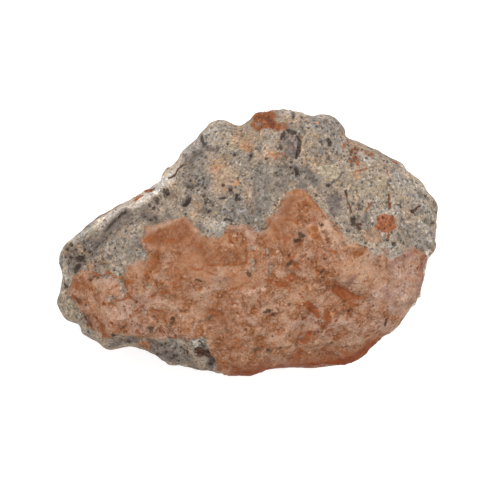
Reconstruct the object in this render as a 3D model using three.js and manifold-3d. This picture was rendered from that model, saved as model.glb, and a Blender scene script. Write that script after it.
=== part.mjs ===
// A lunar meteorite: one stone of pale feldspathic breccia, small enough for a palm, with a thin orange
// desert crust of caliche grown over the lower half of its face. It is a single solid, as the stone is.
// It lies on the flattest part of its back with its best face up.
//
// Millimetres, +Z up. The origin is on the surface that the stone lies on, under the middle of its
// bounding box. +X runs along the stone, from its narrow end to its blunt one.
//
// The body is a ball of even triangles. Each of its directions is carried out to a plan outline and up or
// down a rounded section, facets are knocked off, and lumps, ledges, hollows and the crust are raised along
// the surface's own normals. Last, the flat that it rests on is cut.

import * as THREE from "three";
import { mergeVertices } from "three/addons/utils/BufferGeometryUtils.js";
import Module from "manifold-3d";

// ---- Driving dimensions ----

const MIDDLE = [2.2, -1.9]; // plan point that every section is drawn through
const RIM_HEIGHT = 9.4; // of the widest line round the stone, above the surface that it lies on
const RIM_TILT = [0.035, -0.03]; // rise of that line for each mm along X and Y
const RIM_WAVE = { wavelength: 16, height: 1.6 }; // its wandering up and down
const CROWN = 14.2; // from the rim up to the top of the face, before its lumps
const BELLY = 10.6; // from the rim down, before the flat is cut
const SECTION_POWER = 2.7; // 2 is an elliptical section, more is squarer
const NARROW_END = { from: -2, to: -29, crown: 0.6, belly: 0.62 }; // how far the section has shrunk at x = to
const BLUNT_END = { from: 12, to: 29, crown: 0.84, belly: 0.95 };
const BALL_DETAIL = 20; // 20 * (detail + 1)^2 triangles
const FACE_SHARE = 0.2; // radians that the rim is moved down the ball, which gives the face more triangles

// Plan outline, counter-clockwise from the blunt end.
const OUTLINE = [
  [27.1, -2.0], [27.8, -0.6], [27.6, 0.5], [28.3, 2.8], [28.6, 5.2], [28.2, 6.5], [27.1, 7.6], [26.4, 8.8],
  [25.2, 10.0], [24.1, 10.9], [23.4, 11.9], [21.6, 12.8], [20.4, 13.5], [18.7, 14.4], [16.5, 15.3],
  [15.0, 15.9], [14.2, 17.3], [13.2, 18.5], [11.7, 18.7], [9.8, 18.9], [7.9, 19.6], [5.5, 20.0],
  [3.8, 19.6], [1.6, 19.4], [0.3, 18.1], [-0.9, 17.5], [-2.1, 17.6], [-3.1, 18.1], [-4.8, 18.0],
  [-6.2, 16.9], [-7.5, 15.6], [-9.2, 14.3], [-10.2, 13.0], [-11.1, 11.5], [-12.2, 10.2], [-12.8, 9.1],
  [-14.7, 7.9], [-17.4, 6.3], [-20.2, 4.8], [-23.2, 3.1], [-25.2, 1.3], [-26.6, -0.3], [-28.0, -1.5],
  [-28.2, -3.1], [-27.8, -4.9], [-28.1, -7.0], [-28.6, -8.6], [-28.1, -10.3], [-27.1, -11.7],
  [-25.3, -12.4], [-24.7, -13.7], [-22.5, -15.0], [-20.5, -16.2], [-17.6, -15.7], [-15.0, -16.4],
  [-12.4, -17.3], [-9.1, -18.1], [-5.7, -19.0], [-2.7, -20.0], [-0.1, -19.9], [2.2, -19.3], [5.7, -18.8],
  [9.8, -18.8], [13.2, -18.5], [15.4, -17.5], [17.9, -15.6], [20.1, -13.3], [22.7, -11.4], [24.8, -9.5],
  [25.9, -7.3], [26.5, -5.5], [26.9, -3.5],
];

// Flats broken off the stone: a plane's normal, its distance from the middle of the rim, and the share of
// the bulge beyond the plane that is taken away. They leave the rim itself alone.
const FACETS = [
  { name: "upper face", normal: [-0.1, 0.42, 0.9], reach: 12.0, taken: 0.7 },
  { name: "blunt end of the face", normal: [0.56, 0.1, 0.82], reach: 17.6, taken: 0.7 },
  { name: "lower right shoulder", normal: [0.46, -0.56, 0.69], reach: 17.0, taken: 0.7 },
  { name: "long shoulder", normal: [-0.44, 0.67, 0.6], reach: 15.3, taken: 0.8 },
  { name: "narrow end of the face", normal: [-0.5, -0.12, 0.86], reach: 17.4, taken: 0.6 },
  { name: "back of the long side", normal: [-0.3, 0.7, -0.65], reach: 15.5, taken: 0.85 },
  { name: "back of the blunt end", normal: [0.6, 0.2, -0.77], reach: 17.2, taken: 0.85 },
  { name: "back of the lower side", normal: [0.15, -0.8, -0.58], reach: 13.8, taken: 0.85 },
  { name: "back of the narrow end", normal: [-0.45, -0.25, -0.86], reach: 14.6, taken: 0.8 },
  { name: "corner of the back", normal: [0.45, 0.62, -0.64], reach: 16.8, taken: 0.85 },
];

// Swells and hollows of the face: plan place, half-widths, turn in degrees and lift.
const SWELLS = [
  // the grey upper half
  { at: [-4.2, 16.2], half: [2.8, 2.0], turn: 20, lift: 0.9 }, // knob over the notch
  { at: [-0.7, 15.6], half: [1.3, 2.2], turn: 0, lift: -0.6 }, // notch
  { at: [7.5, 16.6], half: [6.0, 2.6], turn: -8, lift: 0.9 }, // top lobe
  { at: [16.4, 12.6], half: [2.2, 3.0], turn: 35, lift: -0.6 }, // step down beside it
  { at: [-2.6, 9.8], half: [5.2, 4.0], turn: 25, lift: 0.5 },
  { at: [2.8, 8.2], half: [2.0, 3.4], turn: 0, lift: -0.4 },
  { at: [22.2, 7.4], half: [4.6, 3.8], turn: -40, lift: 0.5 },
  { at: [12.6, 6.4], half: [1.8, 3.2], turn: 10, lift: -0.45 },
  { at: [-9.0, 7.6], half: [2.4, 1.6], turn: 50, lift: 0.4 },
  // the narrow end
  { at: [-21.6, 0.6], half: [5.4, 1.7], turn: 36, lift: -0.95 }, // dark trough under the long ridge
  { at: [-25.4, -3.2], half: [1.5, 1.3], turn: 0, lift: -0.9 },
  { at: [-27.0, -8.8], half: [1.7, 1.6], turn: 0, lift: 0.6 },
  { at: [-26.8, -5.6], half: [1.4, 1.3], turn: 0, lift: -0.45 },
  { at: [-16.6, -1.2], half: [3.4, 1.8], turn: 30, lift: -0.35 },
  // the crust
  { at: [-10.4, 1.6], half: [3.2, 2.0], turn: 14, lift: 0.7 }, // first peak
  { at: [-13.8, -2.9], half: [1.4, 1.2], turn: 60, lift: -0.7 }, // pool beside it
  { at: [-1.2, 0.2], half: [3.6, 2.4], turn: 0, lift: 0.55 }, // middle block
  { at: [3.0, -3.2], half: [2.2, 2.8], turn: 0, lift: -0.5 }, // fluted hollow
  { at: [8.0, 4.6], half: [2.6, 3.6], turn: -10, lift: 0.8 }, // second peak
  { at: [11.0, 1.9], half: [1.2, 1.7], turn: -25, lift: 0.7 }, // knob on its flank
  { at: [7.4, -0.4], half: [1.6, 1.5], turn: 0, lift: -0.6 },
  { at: [12.4, -3.2], half: [2.6, 1.8], turn: -40, lift: 0.45 },
  { at: [14.9, -7.4], half: [2.4, 1.2], turn: -35, lift: -0.9 }, // bright pool
  { at: [9.6, -10.2], half: [1.3, 2.4], turn: 15, lift: -0.8 },
  { at: [8.4, -15.4], half: [1.0, 2.0], turn: -8, lift: -0.7 },
  { at: [3.6, -11.8], half: [4.4, 3.2], turn: 10, lift: 0.6 },
  { at: [-17.0, -8.0], half: [5.6, 2.6], turn: 0, lift: 0.55 }, // left shelf
  { at: [-8.0, -7.2], half: [4.6, 1.6], turn: 8, lift: 0.35 },
  { at: [-7.0, -11.4], half: [5.0, 1.6], turn: -4, lift: -0.45 },
  { at: [20.0, -8.2], half: [3.2, 3.0], turn: -40, lift: 0.5 },
  { at: [23.4, -3.6], half: [2.4, 2.4], turn: 0, lift: -0.35 },
  { at: [-9.6, -15.6], half: [4.4, 1.3], turn: -14, lift: -0.5 }, // bare strip under the crust
];

// Ridges and cracks of the face: a plan line, its half-width and its lift.
const RIDGES = [
  { line: [[-26.6, -1.4], [-22.8, 1.2], [-19.2, 3.4], [-15.4, 5.4], [-11.8, 7.8]], half: 1.0, lift: 0.95 },
  { line: [[-11.8, 7.8], [-9.4, 10.4], [-7.6, 13.2], [-6.2, 15.6]], half: 0.9, lift: 0.55 },
  { line: [[-13.2, -7.6], [-7.2, -5.4], [0.2, -4.9], [6.4, -6.6]], half: 1.0, lift: 0.5 },
  { line: [[10.0, 5.2], [12.6, 2.2], [14.9, -0.6]], half: 0.8, lift: 0.5 },
  { line: [[26.0, -4.6], [22.6, -8.0], [18.4, -12.2], [14.0, -15.8]], half: 1.2, lift: 0.5 },
  { line: [[15.2, 8.4], [15.7, 5.4], [15.9, 1.6]], half: 0.6, lift: -0.4 },
  { line: [[-24.2, -9.2], [-18.0, -9.6], [-12.8, -7.9]], half: 0.7, lift: -0.3 },
];

// Edge of the orange crust on the face, in plan. It stands a little proud of the bare stone.
const CRUST_THICKNESS = 0.4;
const CRUST_EDGE_WIDTH = 0.8;
const CRUST_EDGE = [
  [-26.4, -4.9], [-24.8, -4.4], [-23.5, -4.0], [-22.0, -5.1], [-19.9, -4.9], [-18.4, -5.6], [-17.9, -4.0],
  [-17.0, -2.8], [-15.0, -2.7], [-14.7, -1.8], [-15.5, -0.2], [-14.6, 2.0], [-12.0, 2.6], [-9.2, 3.9],
  [-7.8, 2.4], [-6.8, 1.0], [-5.4, 0.7], [-4.1, 0.7], [-3.0, 2.4], [0.1, 2.5], [1.4, 1.4], [3.2, 1.9],
  [4.2, 3.8], [5.3, 6.3], [6.3, 7.9], [7.6, 8.2], [9.2, 6.9], [11.0, 5.0], [12.9, 2.4], [14.5, 0.4], [16.6, -0.6],
  [18.6, -1.9], [21.2, -2.2], [24.6, -1.0], [26.0, -1.6], [27.2, -4.0], [26.4, -7.0], [24.9, -9.4], [22.0, -12.8],
  [15.8, -18.2], [4.0, -19.4], [-2.2, -20.4], [-4.2, -18.2], [-5.3, -16.4], [-6.2, -14.0], [-9.2, -14.4],
  [-13.2, -14.4], [-17.4, -13.8], [-21.2, -13.8], [-23.6, -12.6], [-25.0, -10.2], [-26.4, -8.0],
];

// Broken-rock roughness: wavelength and height of each layer, and how much of it is left at the rim.
const ROUGHNESS = [
  { wavelength: 9.0, height: 0.9 },
  { wavelength: 4.2, height: 0.6 },
  { wavelength: 2.4, height: 0.3 },
];
const ROUGHNESS_AT_RIM = 0.1;
const RIM_BAND = 2.2; // height, either side of the rim, over which the roughness fades

// The upper side's forms fade out where the surface turns down to the rim.
const FACE_FADE = [0.03, 0.38];

const FACET_FADE = 3.0; // height off the rim over which a facet comes in full

// The outline's bumps die out above and below the rim. A bump is what stands out past the mean distance
// from MIDDLE of the outline's stretch round it.
const BUMP_FADE = 5.0;
const BUMP_STRETCH = [-0.036, -0.024, -0.012, 0, 0.012, 0.024, 0.036]; // shares of the way round

// ---- Small functions ----

const clamp = (value, low, high) => Math.min(high, Math.max(low, value));

function smoothstep(low, high, value) {
  const t = clamp((value - low) / (high - low), 0, 1);
  return t * t * (3 - 2 * t);
}

// A number from 0 to 1 for each corner of a cubic lattice.
function latticeValue(x, y, z) {
  let h = Math.imul(x, 374761393) ^ Math.imul(y, 668265263) ^ Math.imul(z, 1442695041);
  h = Math.imul(h ^ (h >>> 13), 1274126177);
  h = Math.imul(h ^ (h >>> 15), 2246822519);
  return ((h ^ (h >>> 16)) >>> 0) / 2 ** 32;
}

// Smooth noise from -1 to 1: the lattice's values eased between the eight corners round the point.
function noise(x, y, z) {
  const corner = [Math.floor(x), Math.floor(y), Math.floor(z)];
  const ease = [x, y, z].map((value, axis) => {
    const t = value - corner[axis];
    return t * t * t * (t * (t * 6 - 15) + 10);
  });
  let sum = 0;
  for (let i = 0; i < 8; i++) {
    const step = [i & 1, (i >> 1) & 1, i >> 2];
    const weight = step.reduce((w, s, axis) => w * (s ? ease[axis] : 1 - ease[axis]), 1);
    sum += weight * latticeValue(corner[0] + step[0], corner[1] + step[1], corner[2] + step[2]);
  }
  return 2 * sum - 1;
}

// Distance from a plan point to the stretch from a to b.
function distanceToStretch(x, y, a, b) {
  const along = [b[0] - a[0], b[1] - a[1]];
  const share = ((x - a[0]) * along[0] + (y - a[1]) * along[1]) / (along[0] ** 2 + along[1] ** 2);
  const t = clamp(share, 0, 1);
  return Math.hypot(x - a[0] - t * along[0], y - a[1] - t * along[1]);
}

function distanceToLine(x, y, line) {
  return Math.min(...line.slice(1).map((point, i) => distanceToStretch(x, y, line[i], point)));
}

// Distance into a closed plan shape: positive inside, negative outside.
function depthInside(x, y, shape) {
  let inside = false;
  shape.forEach((b, i) => {
    const a = shape.at(i - 1);
    if (a[1] > y !== b[1] > y && x < a[0] + ((y - a[1]) / (b[1] - a[1])) * (b[0] - a[0])) inside = !inside;
  });
  const distance = distanceToLine(x, y, [...shape, shape[0]]);
  return inside ? distance : -distance;
}

// ---- The body ----

const outline = new THREE.CatmullRomCurve3(
  OUTLINE.map(([x, y]) => new THREE.Vector3(x, y, 0)),
  true,
  "catmullrom",
  0.5,
);
outline.arcLengthDivisions = 2000;

function rimHeight(x, y) {
  const { wavelength, height } = RIM_WAVE;
  return RIM_HEIGHT + RIM_TILT[0] * x + RIM_TILT[1] * y + height * noise(x / wavelength, y / wavelength, 0.5);
}

// The section's share of its full height at x, which shrinks towards both ends.
function fullness(x, side) {
  const shrink = (end) => 1 - (1 - end[side]) * smoothstep(0, 1, (x - end.from) / (end.to - end.from));
  return shrink(NARROW_END) * shrink(BLUNT_END);
}

const outlinePoint = (turn) => outline.getPointAt(turn - Math.floor(turn));

// The share of the outline's distance from MIDDLE that is a bump.
function bumpShare(turn) {
  const reach = (t) => Math.hypot(outlinePoint(t).x - MIDDLE[0], outlinePoint(t).y - MIDDLE[1]);
  const even = BUMP_STRETCH.reduce((sum, step) => sum + reach(turn + step), 0) / BUMP_STRETCH.length;
  return Math.max(0, 1 - even / reach(turn));
}

// Carries a direction of the ball to the smooth body: out along the plan by the outline, up or down by a
// superellipse.
function bodyPoint(direction) {
  const turn = Math.atan2(direction.y, direction.x) / (2 * Math.PI);
  const edge = outlinePoint(turn);
  const rise = Math.asin(clamp(direction.z, -1, 1));
  const angle = rise + FACE_SHARE * Math.cos(rise);
  const [c, s] = [Math.cos(angle), Math.sin(angle)];
  const size = (Math.abs(c) ** SECTION_POWER + Math.abs(s) ** SECTION_POWER) ** (-1 / SECTION_POWER);
  const side = s > 0 ? "crown" : "belly";
  const full = s > 0 ? CROWN : BELLY;
  const out = size * c * (1 - bumpShare(turn) * smoothstep(0, BUMP_FADE, Math.abs(full * size * s)));
  const x = MIDDLE[0] + (edge.x - MIDDLE[0]) * out;
  const y = MIDDLE[1] + (edge.y - MIDDLE[1]) * out;
  return new THREE.Vector3(x, y, rimHeight(x, y) + full * fullness(x, side) * size * s);
}

function breakFacets(point) {
  const heart = new THREE.Vector3(MIDDLE[0], MIDDLE[1], RIM_HEIGHT);
  const offRim = smoothstep(0, FACET_FADE, Math.abs(point.z - rimHeight(point.x, point.y)));
  for (const facet of FACETS) {
    const normal = new THREE.Vector3(...facet.normal).normalize();
    const beyond = point.clone().sub(heart).dot(normal) - facet.reach;
    if (beyond > 0) point.addScaledVector(normal, -facet.taken * offRim * beyond);
  }
  return point;
}

// ---- The relief, all of it measured outwards along the surface's normal ----

function swell({ at, half, turn, lift }, x, y) {
  const angle = THREE.MathUtils.degToRad(turn);
  const [dx, dy] = [x - at[0], y - at[1]];
  const u = (dx * Math.cos(angle) + dy * Math.sin(angle)) / half[0];
  const v = (dy * Math.cos(angle) - dx * Math.sin(angle)) / half[1];
  return lift * Math.exp(-(u * u + v * v));
}

const ridge = ({ line, half, lift }, x, y) => lift * Math.exp(-((distanceToLine(x, y, line) / half) ** 2));

const crustStep = (x, y) =>
  CRUST_THICKNESS * smoothstep(-CRUST_EDGE_WIDTH / 2, CRUST_EDGE_WIDTH / 2, depthInside(x, y, CRUST_EDGE));

function faceRelief(x, y) {
  const swells = SWELLS.reduce((sum, form) => sum + swell(form, x, y), 0);
  const ridges = RIDGES.reduce((sum, form) => sum + ridge(form, x, y), 0);
  return swells + ridges + crustStep(x, y);
}

function roughness(p) {
  const rough = ROUGHNESS.reduce(
    (sum, { wavelength, height }) => sum + height * noise(p.x / wavelength, p.y / wavelength, p.z / wavelength),
    0,
  );
  const offRim = (p.z - rimHeight(p.x, p.y)) / RIM_BAND;
  return rough * (1 - (1 - ROUGHNESS_AT_RIM) * Math.exp(-offRim * offRim));
}

function raiseRelief(geometry) {
  geometry.computeVertexNormals();
  const { position, normal } = geometry.attributes;
  for (let i = 0; i < position.count; i++) {
    const p = new THREE.Vector3().fromBufferAttribute(position, i);
    const n = new THREE.Vector3().fromBufferAttribute(normal, i);
    const onFace = smoothstep(...FACE_FADE, n.z);
    p.addScaledVector(n, roughness(p) + onFace * faceRelief(p.x, p.y));
    position.setXYZ(i, p.x, p.y, p.z);
  }
}

function stoneGeometry() {
  const ball = new THREE.IcosahedronGeometry(1, BALL_DETAIL);
  ball.deleteAttribute("normal");
  ball.deleteAttribute("uv");
  const geometry = mergeVertices(ball, 1e-5);
  const { position } = geometry.attributes;
  for (let i = 0; i < position.count; i++) {
    const p = breakFacets(bodyPoint(new THREE.Vector3().fromBufferAttribute(position, i)));
    position.setXYZ(i, p.x, p.y, p.z);
  }
  raiseRelief(geometry);
  return geometry;
}

// ---- The flat underneath ----

const wasm = await Module();
wasm.setup();

function toSolid(geometry) {
  const bare = new THREE.BufferGeometry().setAttribute("position", geometry.getAttribute("position"));
  const merged = mergeVertices(bare.setIndex(geometry.index), 1e-5);
  return new wasm.Manifold(
    new wasm.Mesh({
      numProp: 3,
      vertProperties: merged.attributes.position.array,
      triVerts: new Uint32Array(merged.index.array),
    }),
  );
}

function toGeometry(solid) {
  const mesh = solid.getMesh();
  return new THREE.BufferGeometry()
    .setAttribute("position", new THREE.BufferAttribute(mesh.vertProperties, 3))
    .setIndex(new THREE.BufferAttribute(mesh.triVerts, 1));
}

// Takes away all of the stone that is below the surface that it lies on.
function cutFlat(geometry) {
  const [length, depth] = [80, 20];
  const below = new THREE.BoxGeometry(length, length, depth).translate(0, 0, -depth / 2);
  return toGeometry(toSolid(geometry).subtract(toSolid(below)));
}

// ---- The part ----

const stone = new THREE.Mesh(
  cutFlat(stoneGeometry()),
  new THREE.MeshStandardMaterial({ color: "#a58f7c", roughness: 0.85, metalness: 0, flatShading: true }),
);
stone.name = "meteorite";
stone.geometry.computeVertexNormals();

const part = new THREE.Group();
part.add(stone);
export default part;
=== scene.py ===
"""A lunar meteorite: one palm-sized stone of pale breccia with an orange desert crust, lying face up."""

import math

import bpy
import numpy as np
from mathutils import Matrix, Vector


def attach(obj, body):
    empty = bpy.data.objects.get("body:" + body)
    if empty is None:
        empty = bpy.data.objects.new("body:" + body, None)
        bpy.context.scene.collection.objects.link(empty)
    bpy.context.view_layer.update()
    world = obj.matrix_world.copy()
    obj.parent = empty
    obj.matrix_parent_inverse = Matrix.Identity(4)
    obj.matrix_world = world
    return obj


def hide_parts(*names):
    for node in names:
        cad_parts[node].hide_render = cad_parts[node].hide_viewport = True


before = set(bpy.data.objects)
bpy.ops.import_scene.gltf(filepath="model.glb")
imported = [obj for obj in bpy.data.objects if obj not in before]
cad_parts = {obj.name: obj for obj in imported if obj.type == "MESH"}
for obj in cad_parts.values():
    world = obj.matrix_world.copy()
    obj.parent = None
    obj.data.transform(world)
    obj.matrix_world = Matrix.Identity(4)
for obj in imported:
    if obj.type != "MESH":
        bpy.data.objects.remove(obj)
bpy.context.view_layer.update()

# ---- The stone's body ----
# One stone of lunar breccia, broken off its parent rock and lightly rounded by sand. It is made as one
# closed skin of two sheets, face and back, that meet just under the rim. Millimetres, until it is meshed.

MIDDLE = np.array([2.2, -1.9])  # plan point that every section is drawn through
RIM_HEIGHT = 9.4
RIM_TILT = np.array([0.035, -0.03])
RIM_WAVE_LENGTH, RIM_WAVE_HEIGHT = 16.0, 1.6
CROWN, BELLY = 14.2, 10.6  # from the rim up to the face and down to the back
SECTION_POWER = 2.7
NARROW_END = {"from": -2.0, "to": -29.0, "crown": 0.6, "belly": 0.62}
BLUNT_END = {"from": 12.0, "to": 29.0, "crown": 0.84, "belly": 0.95}
BUMP_FADE = 5.0  # height off the rim over which the outline's bumps give out
BUMP_STRETCH = (-0.036, -0.024, -0.012, 0.0, 0.012, 0.024, 0.036)  # shares of a turn
FACET_FADE = 3.0  # height off the rim over which a facet comes in full
OUTLINE = np.array([
    (27.1, -2.0), (27.8, -0.6), (27.6, 0.5), (28.3, 2.8), (28.6, 5.2), (28.2, 6.5), (27.1, 7.6),
    (26.4, 8.8), (25.2, 10.0), (24.1, 10.9), (23.4, 11.9), (21.6, 12.8), (20.4, 13.5), (18.7, 14.4),
    (16.5, 15.3), (15.0, 15.9), (14.2, 17.3), (13.2, 18.5), (11.7, 18.7), (9.8, 18.9), (7.9, 19.6),
    (5.5, 20.0), (3.8, 19.6), (1.6, 19.4), (0.3, 18.1), (-0.9, 17.5), (-2.1, 17.6), (-3.1, 18.1),
    (-4.8, 18.0), (-6.2, 16.9), (-7.5, 15.6), (-9.2, 14.3), (-10.2, 13.0), (-11.1, 11.5), (-12.2, 10.2),
    (-12.8, 9.1), (-14.7, 7.9), (-17.4, 6.3), (-20.2, 4.8), (-23.2, 3.1), (-25.2, 1.3), (-26.6, -0.3),
    (-28.0, -1.5), (-28.2, -3.1), (-27.8, -4.9), (-28.1, -7.0), (-28.6, -8.6), (-28.1, -10.3),
    (-27.1, -11.7), (-25.3, -12.4), (-24.7, -13.7), (-22.5, -15.0), (-20.5, -16.2), (-17.6, -15.7),
    (-15.0, -16.4), (-12.4, -17.3), (-9.1, -18.1), (-5.7, -19.0), (-2.7, -20.0), (-0.1, -19.9),
    (2.2, -19.3), (5.7, -18.8), (9.8, -18.8), (13.2, -18.5), (15.4, -17.5), (17.9, -15.6),
    (20.1, -13.3), (22.7, -11.4), (24.8, -9.5), (25.9, -7.3), (26.5, -5.5), (26.9, -3.5),
])
FACETS = [  # normal, reach, share taken away beyond it
    ((-0.1, 0.42, 0.9), 12.0, 0.7),  # upper face
    ((0.56, 0.1, 0.82), 17.6, 0.7),  # blunt end of the face
    ((0.46, -0.56, 0.69), 17.0, 0.7),  # lower right shoulder
    ((-0.44, 0.67, 0.6), 15.3, 0.8),  # long shoulder
    ((-0.5, -0.12, 0.86), 17.4, 0.6),  # narrow end of the face
    ((-0.3, 0.7, -0.65), 15.5, 0.85),  # back of the long side
    ((0.6, 0.2, -0.77), 17.2, 0.85),  # back of the blunt end
    ((0.15, -0.8, -0.58), 13.8, 0.85),  # back of the lower side
    ((-0.45, -0.25, -0.86), 14.6, 0.8),  # back of the narrow end
    ((0.45, 0.62, -0.64), 16.8, 0.85),  # corner of the back
]


def smoothstep(low, high, value):
    """0 below low, 1 above high, eased between."""
    t = np.clip((value - low) / (high - low), 0.0, 1.0)
    return t * t * (3.0 - 2.0 * t)


def lattice_value(x, y, z):
    """A number from 0 to 1 for each corner of a cubic lattice: its three whole coordinates, hashed."""
    h = x.astype(np.uint32) * np.uint32(374761393)
    h = h ^ (y.astype(np.uint32) * np.uint32(668265263)) ^ (z.astype(np.uint32) * np.uint32(1442695041))
    h = (h ^ (h >> np.uint32(13))) * np.uint32(1274126177)
    h = (h ^ (h >> np.uint32(15))) * np.uint32(2246822519)
    return (h ^ (h >> np.uint32(16))) / 2.0**32


def noise(points, wavelength, shift=0.0):
    """Smooth noise from -1 to 1: lattice values eased between the eight corners round each point. A shift
    makes one noise unlike another."""
    scaled = points / wavelength + shift
    corner = np.floor(scaled).astype(np.int64)
    t = scaled - corner
    ease = t * t * t * (t * (t * 6.0 - 15.0) + 10.0)
    total = np.zeros(len(points))
    for i in range(8):
        step = np.array([i & 1, (i >> 1) & 1, i >> 2])
        weight = np.prod(np.where(step, ease, 1.0 - ease), axis=1)
        total += weight * lattice_value(*(corner + step).T)
    return 2.0 * total - 1.0


def layered(points, *layers):
    """Noises added up, each given as its height, wavelength and shift."""
    return sum(height * noise(points, wavelength, shift) for height, wavelength, shift in layers)


def closed_curve(points, share):
    """Catmull-Rom curve through a closed ring of points, at shares of the ring's count of points."""
    place = share * len(points)
    first = np.floor(place).astype(int)
    w = (place - first)[:, None]
    before, start, end, after = (points[(first + k) % len(points)] for k in (-1, 0, 1, 2))
    leave, arrive = 0.5 * (end - before), 0.5 * (after - start)
    return (
        start
        + w * leave
        + w**2 * (3.0 * (end - start) - 2.0 * leave - arrive)
        + w**3 * (2.0 * (start - end) + leave + arrive)
    )


OUTLINE_STEPS = 4096
even_turns = np.linspace(0.0, 1.0, OUTLINE_STEPS + 1)
fine_outline = closed_curve(OUTLINE, even_turns)
travelled = np.concatenate([[0.0], np.cumsum(np.hypot(*np.diff(fine_outline, axis=0).T))])
even_outline = closed_curve(OUTLINE, np.interp(even_turns * travelled[-1], travelled, even_turns))
even_reach = np.hypot(*(even_outline - MIDDLE).T)
mean_reach = sum(np.interp((even_turns + s) % 1.0, even_turns, even_reach) for s in BUMP_STRETCH)
even_bump = np.maximum(0.0, 1.0 - mean_reach / len(BUMP_STRETCH) / even_reach)


def rim_height(xy):
    """Height of the widest line round the stone: a tilted plane with a slow wave."""
    flat = np.column_stack([xy / RIM_WAVE_LENGTH, np.full(len(xy), 0.5)])
    return RIM_HEIGHT + xy @ RIM_TILT + RIM_WAVE_HEIGHT * noise(flat, 1.0)


def fullness(x, side):
    """The section's share of its full height at x, which shrinks towards both ends."""
    total = 1.0
    for end in (NARROW_END, BLUNT_END):
        way = smoothstep(0.0, 1.0, (x - end["from"]) / (end["to"] - end["from"]))
        total = total * (1.0 - (1.0 - end[side]) * way)
    return total


FACE_SHARE = 0.2  # radians that the rim is moved down the ball, which gives the face more of its points


def section(rise):
    """A rise on the ball goes out and up by a superellipse of half-width and half-height 1."""
    angle = rise + FACE_SHARE * np.cos(rise)
    c, s = np.cos(angle), np.sin(angle)
    size = (np.abs(c) ** SECTION_POWER + np.abs(s) ** SECTION_POWER) ** (-1.0 / SECTION_POWER)
    return size * c, size * s


def body(directions):
    """The smooth body: a direction goes out in plan by the outline, up or down by the section, and is then
    drawn back to each facet's plane."""
    turn = (np.arctan2(directions[:, 1], directions[:, 0]) / (2.0 * math.pi)) % 1.0
    edge = np.column_stack([np.interp(turn, even_turns, even_outline[:, k]) for k in (0, 1)])
    out, up = section(np.arcsin(np.clip(directions[:, 2], -1.0, 1.0)))
    full = np.where(up > 0.0, CROWN, BELLY)
    lost = np.interp(turn, even_turns, even_bump) * smoothstep(0.0, BUMP_FADE, np.abs(full * up))
    xy = MIDDLE + (edge - MIDDLE) * (out * (1.0 - lost))[:, None]
    height = full * np.where(up > 0.0, fullness(xy[:, 0], "crown"), fullness(xy[:, 0], "belly")) * up
    points = np.column_stack([xy, rim_height(xy) + height])
    heart = np.array([*MIDDLE, RIM_HEIGHT])
    off_rim = smoothstep(0.0, FACET_FADE, np.abs(points[:, 2] - rim_height(points[:, :2])))
    for normal, reach, taken in FACETS:
        normal = np.array(normal) / np.linalg.norm(normal)
        beyond = np.maximum(0.0, (points - heart) @ normal - reach)
        points = points - (taken * off_rim * beyond)[:, None] * normal
    return points


def body_normals(directions):
    """Normals of the smooth body, from its points a little way along two directions across each one."""
    step = 0.012
    across = np.cross(directions, np.where(np.abs(directions[:, 2:]) < 0.9, [0.0, 0.0, 1.0], [1.0, 0.0, 0.0]))
    across /= np.linalg.norm(across, axis=1, keepdims=True)
    along = np.cross(directions, across)
    spans = []
    for tangent in (across, along):
        ends = [directions + sign * step * tangent for sign in (1.0, -1.0)]
        ends = [body(e / np.linalg.norm(e, axis=1, keepdims=True)) for e in ends]
        spans.append(ends[0] - ends[1])
    normals = np.cross(*spans)
    normals /= np.linalg.norm(normals, axis=1, keepdims=True)
    return normals * np.sign(np.sum(normals * directions, axis=1, keepdims=True))


# ---- Its two sheets of points ----
# The face sheet covers the crown and turns under the rim, and a back sheet with half its steps closes
# the rest, so the joint between them is out of sight.

FACE_STEPS = (342, 230)  # along X and Y
BACK_STEPS = (FACE_STEPS[0] // 2, FACE_STEPS[1] // 2)
SEAM = -0.35  # radians below the rim on the ball
TYPICAL_HALF_WIDTH, TYPICAL_RISE = 24.0, 12.0  # of the section along which the steps are kept even
SECTION_STEPS = 400


def sheet(steps, pole):
    """A square of parameters from -1 to 1 is rounded to a disc, and the disc is wrapped round the ball
    from one pole to the seam, so that its steps are even along the typical section."""
    u, v = np.meshgrid(np.linspace(-1.0, 1.0, steps[0] + 1), np.linspace(-1.0, 1.0, steps[1] + 1))
    x, y = u * np.sqrt(1.0 - v**2 / 2.0), v * np.sqrt(1.0 - u**2 / 2.0)
    radius = np.clip(np.hypot(x, y), 0.0, 1.0)
    turn = np.arctan2(y, x)
    rises = np.linspace(pole * math.pi / 2, SEAM, SECTION_STEPS)
    out, up = section(rises)
    lengths = np.hypot(np.diff(TYPICAL_HALF_WIDTH * out), np.diff(TYPICAL_RISE * up))
    run = np.concatenate([[0.0], np.cumsum(lengths)])
    rise = np.interp(radius * run[-1], run, rises)
    c = np.cos(rise)
    return np.stack([c * np.cos(turn), c * np.sin(turn), np.sin(rise)], axis=-1).reshape(-1, 3)


def quads(index):
    """The four corners of every cell of a grid of indices, once round each."""
    corners = [index[:-1, :-1], index[:-1, 1:], index[1:, 1:], index[1:, :-1]]
    return np.stack(corners, axis=-1).reshape(-1, 4)


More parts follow.
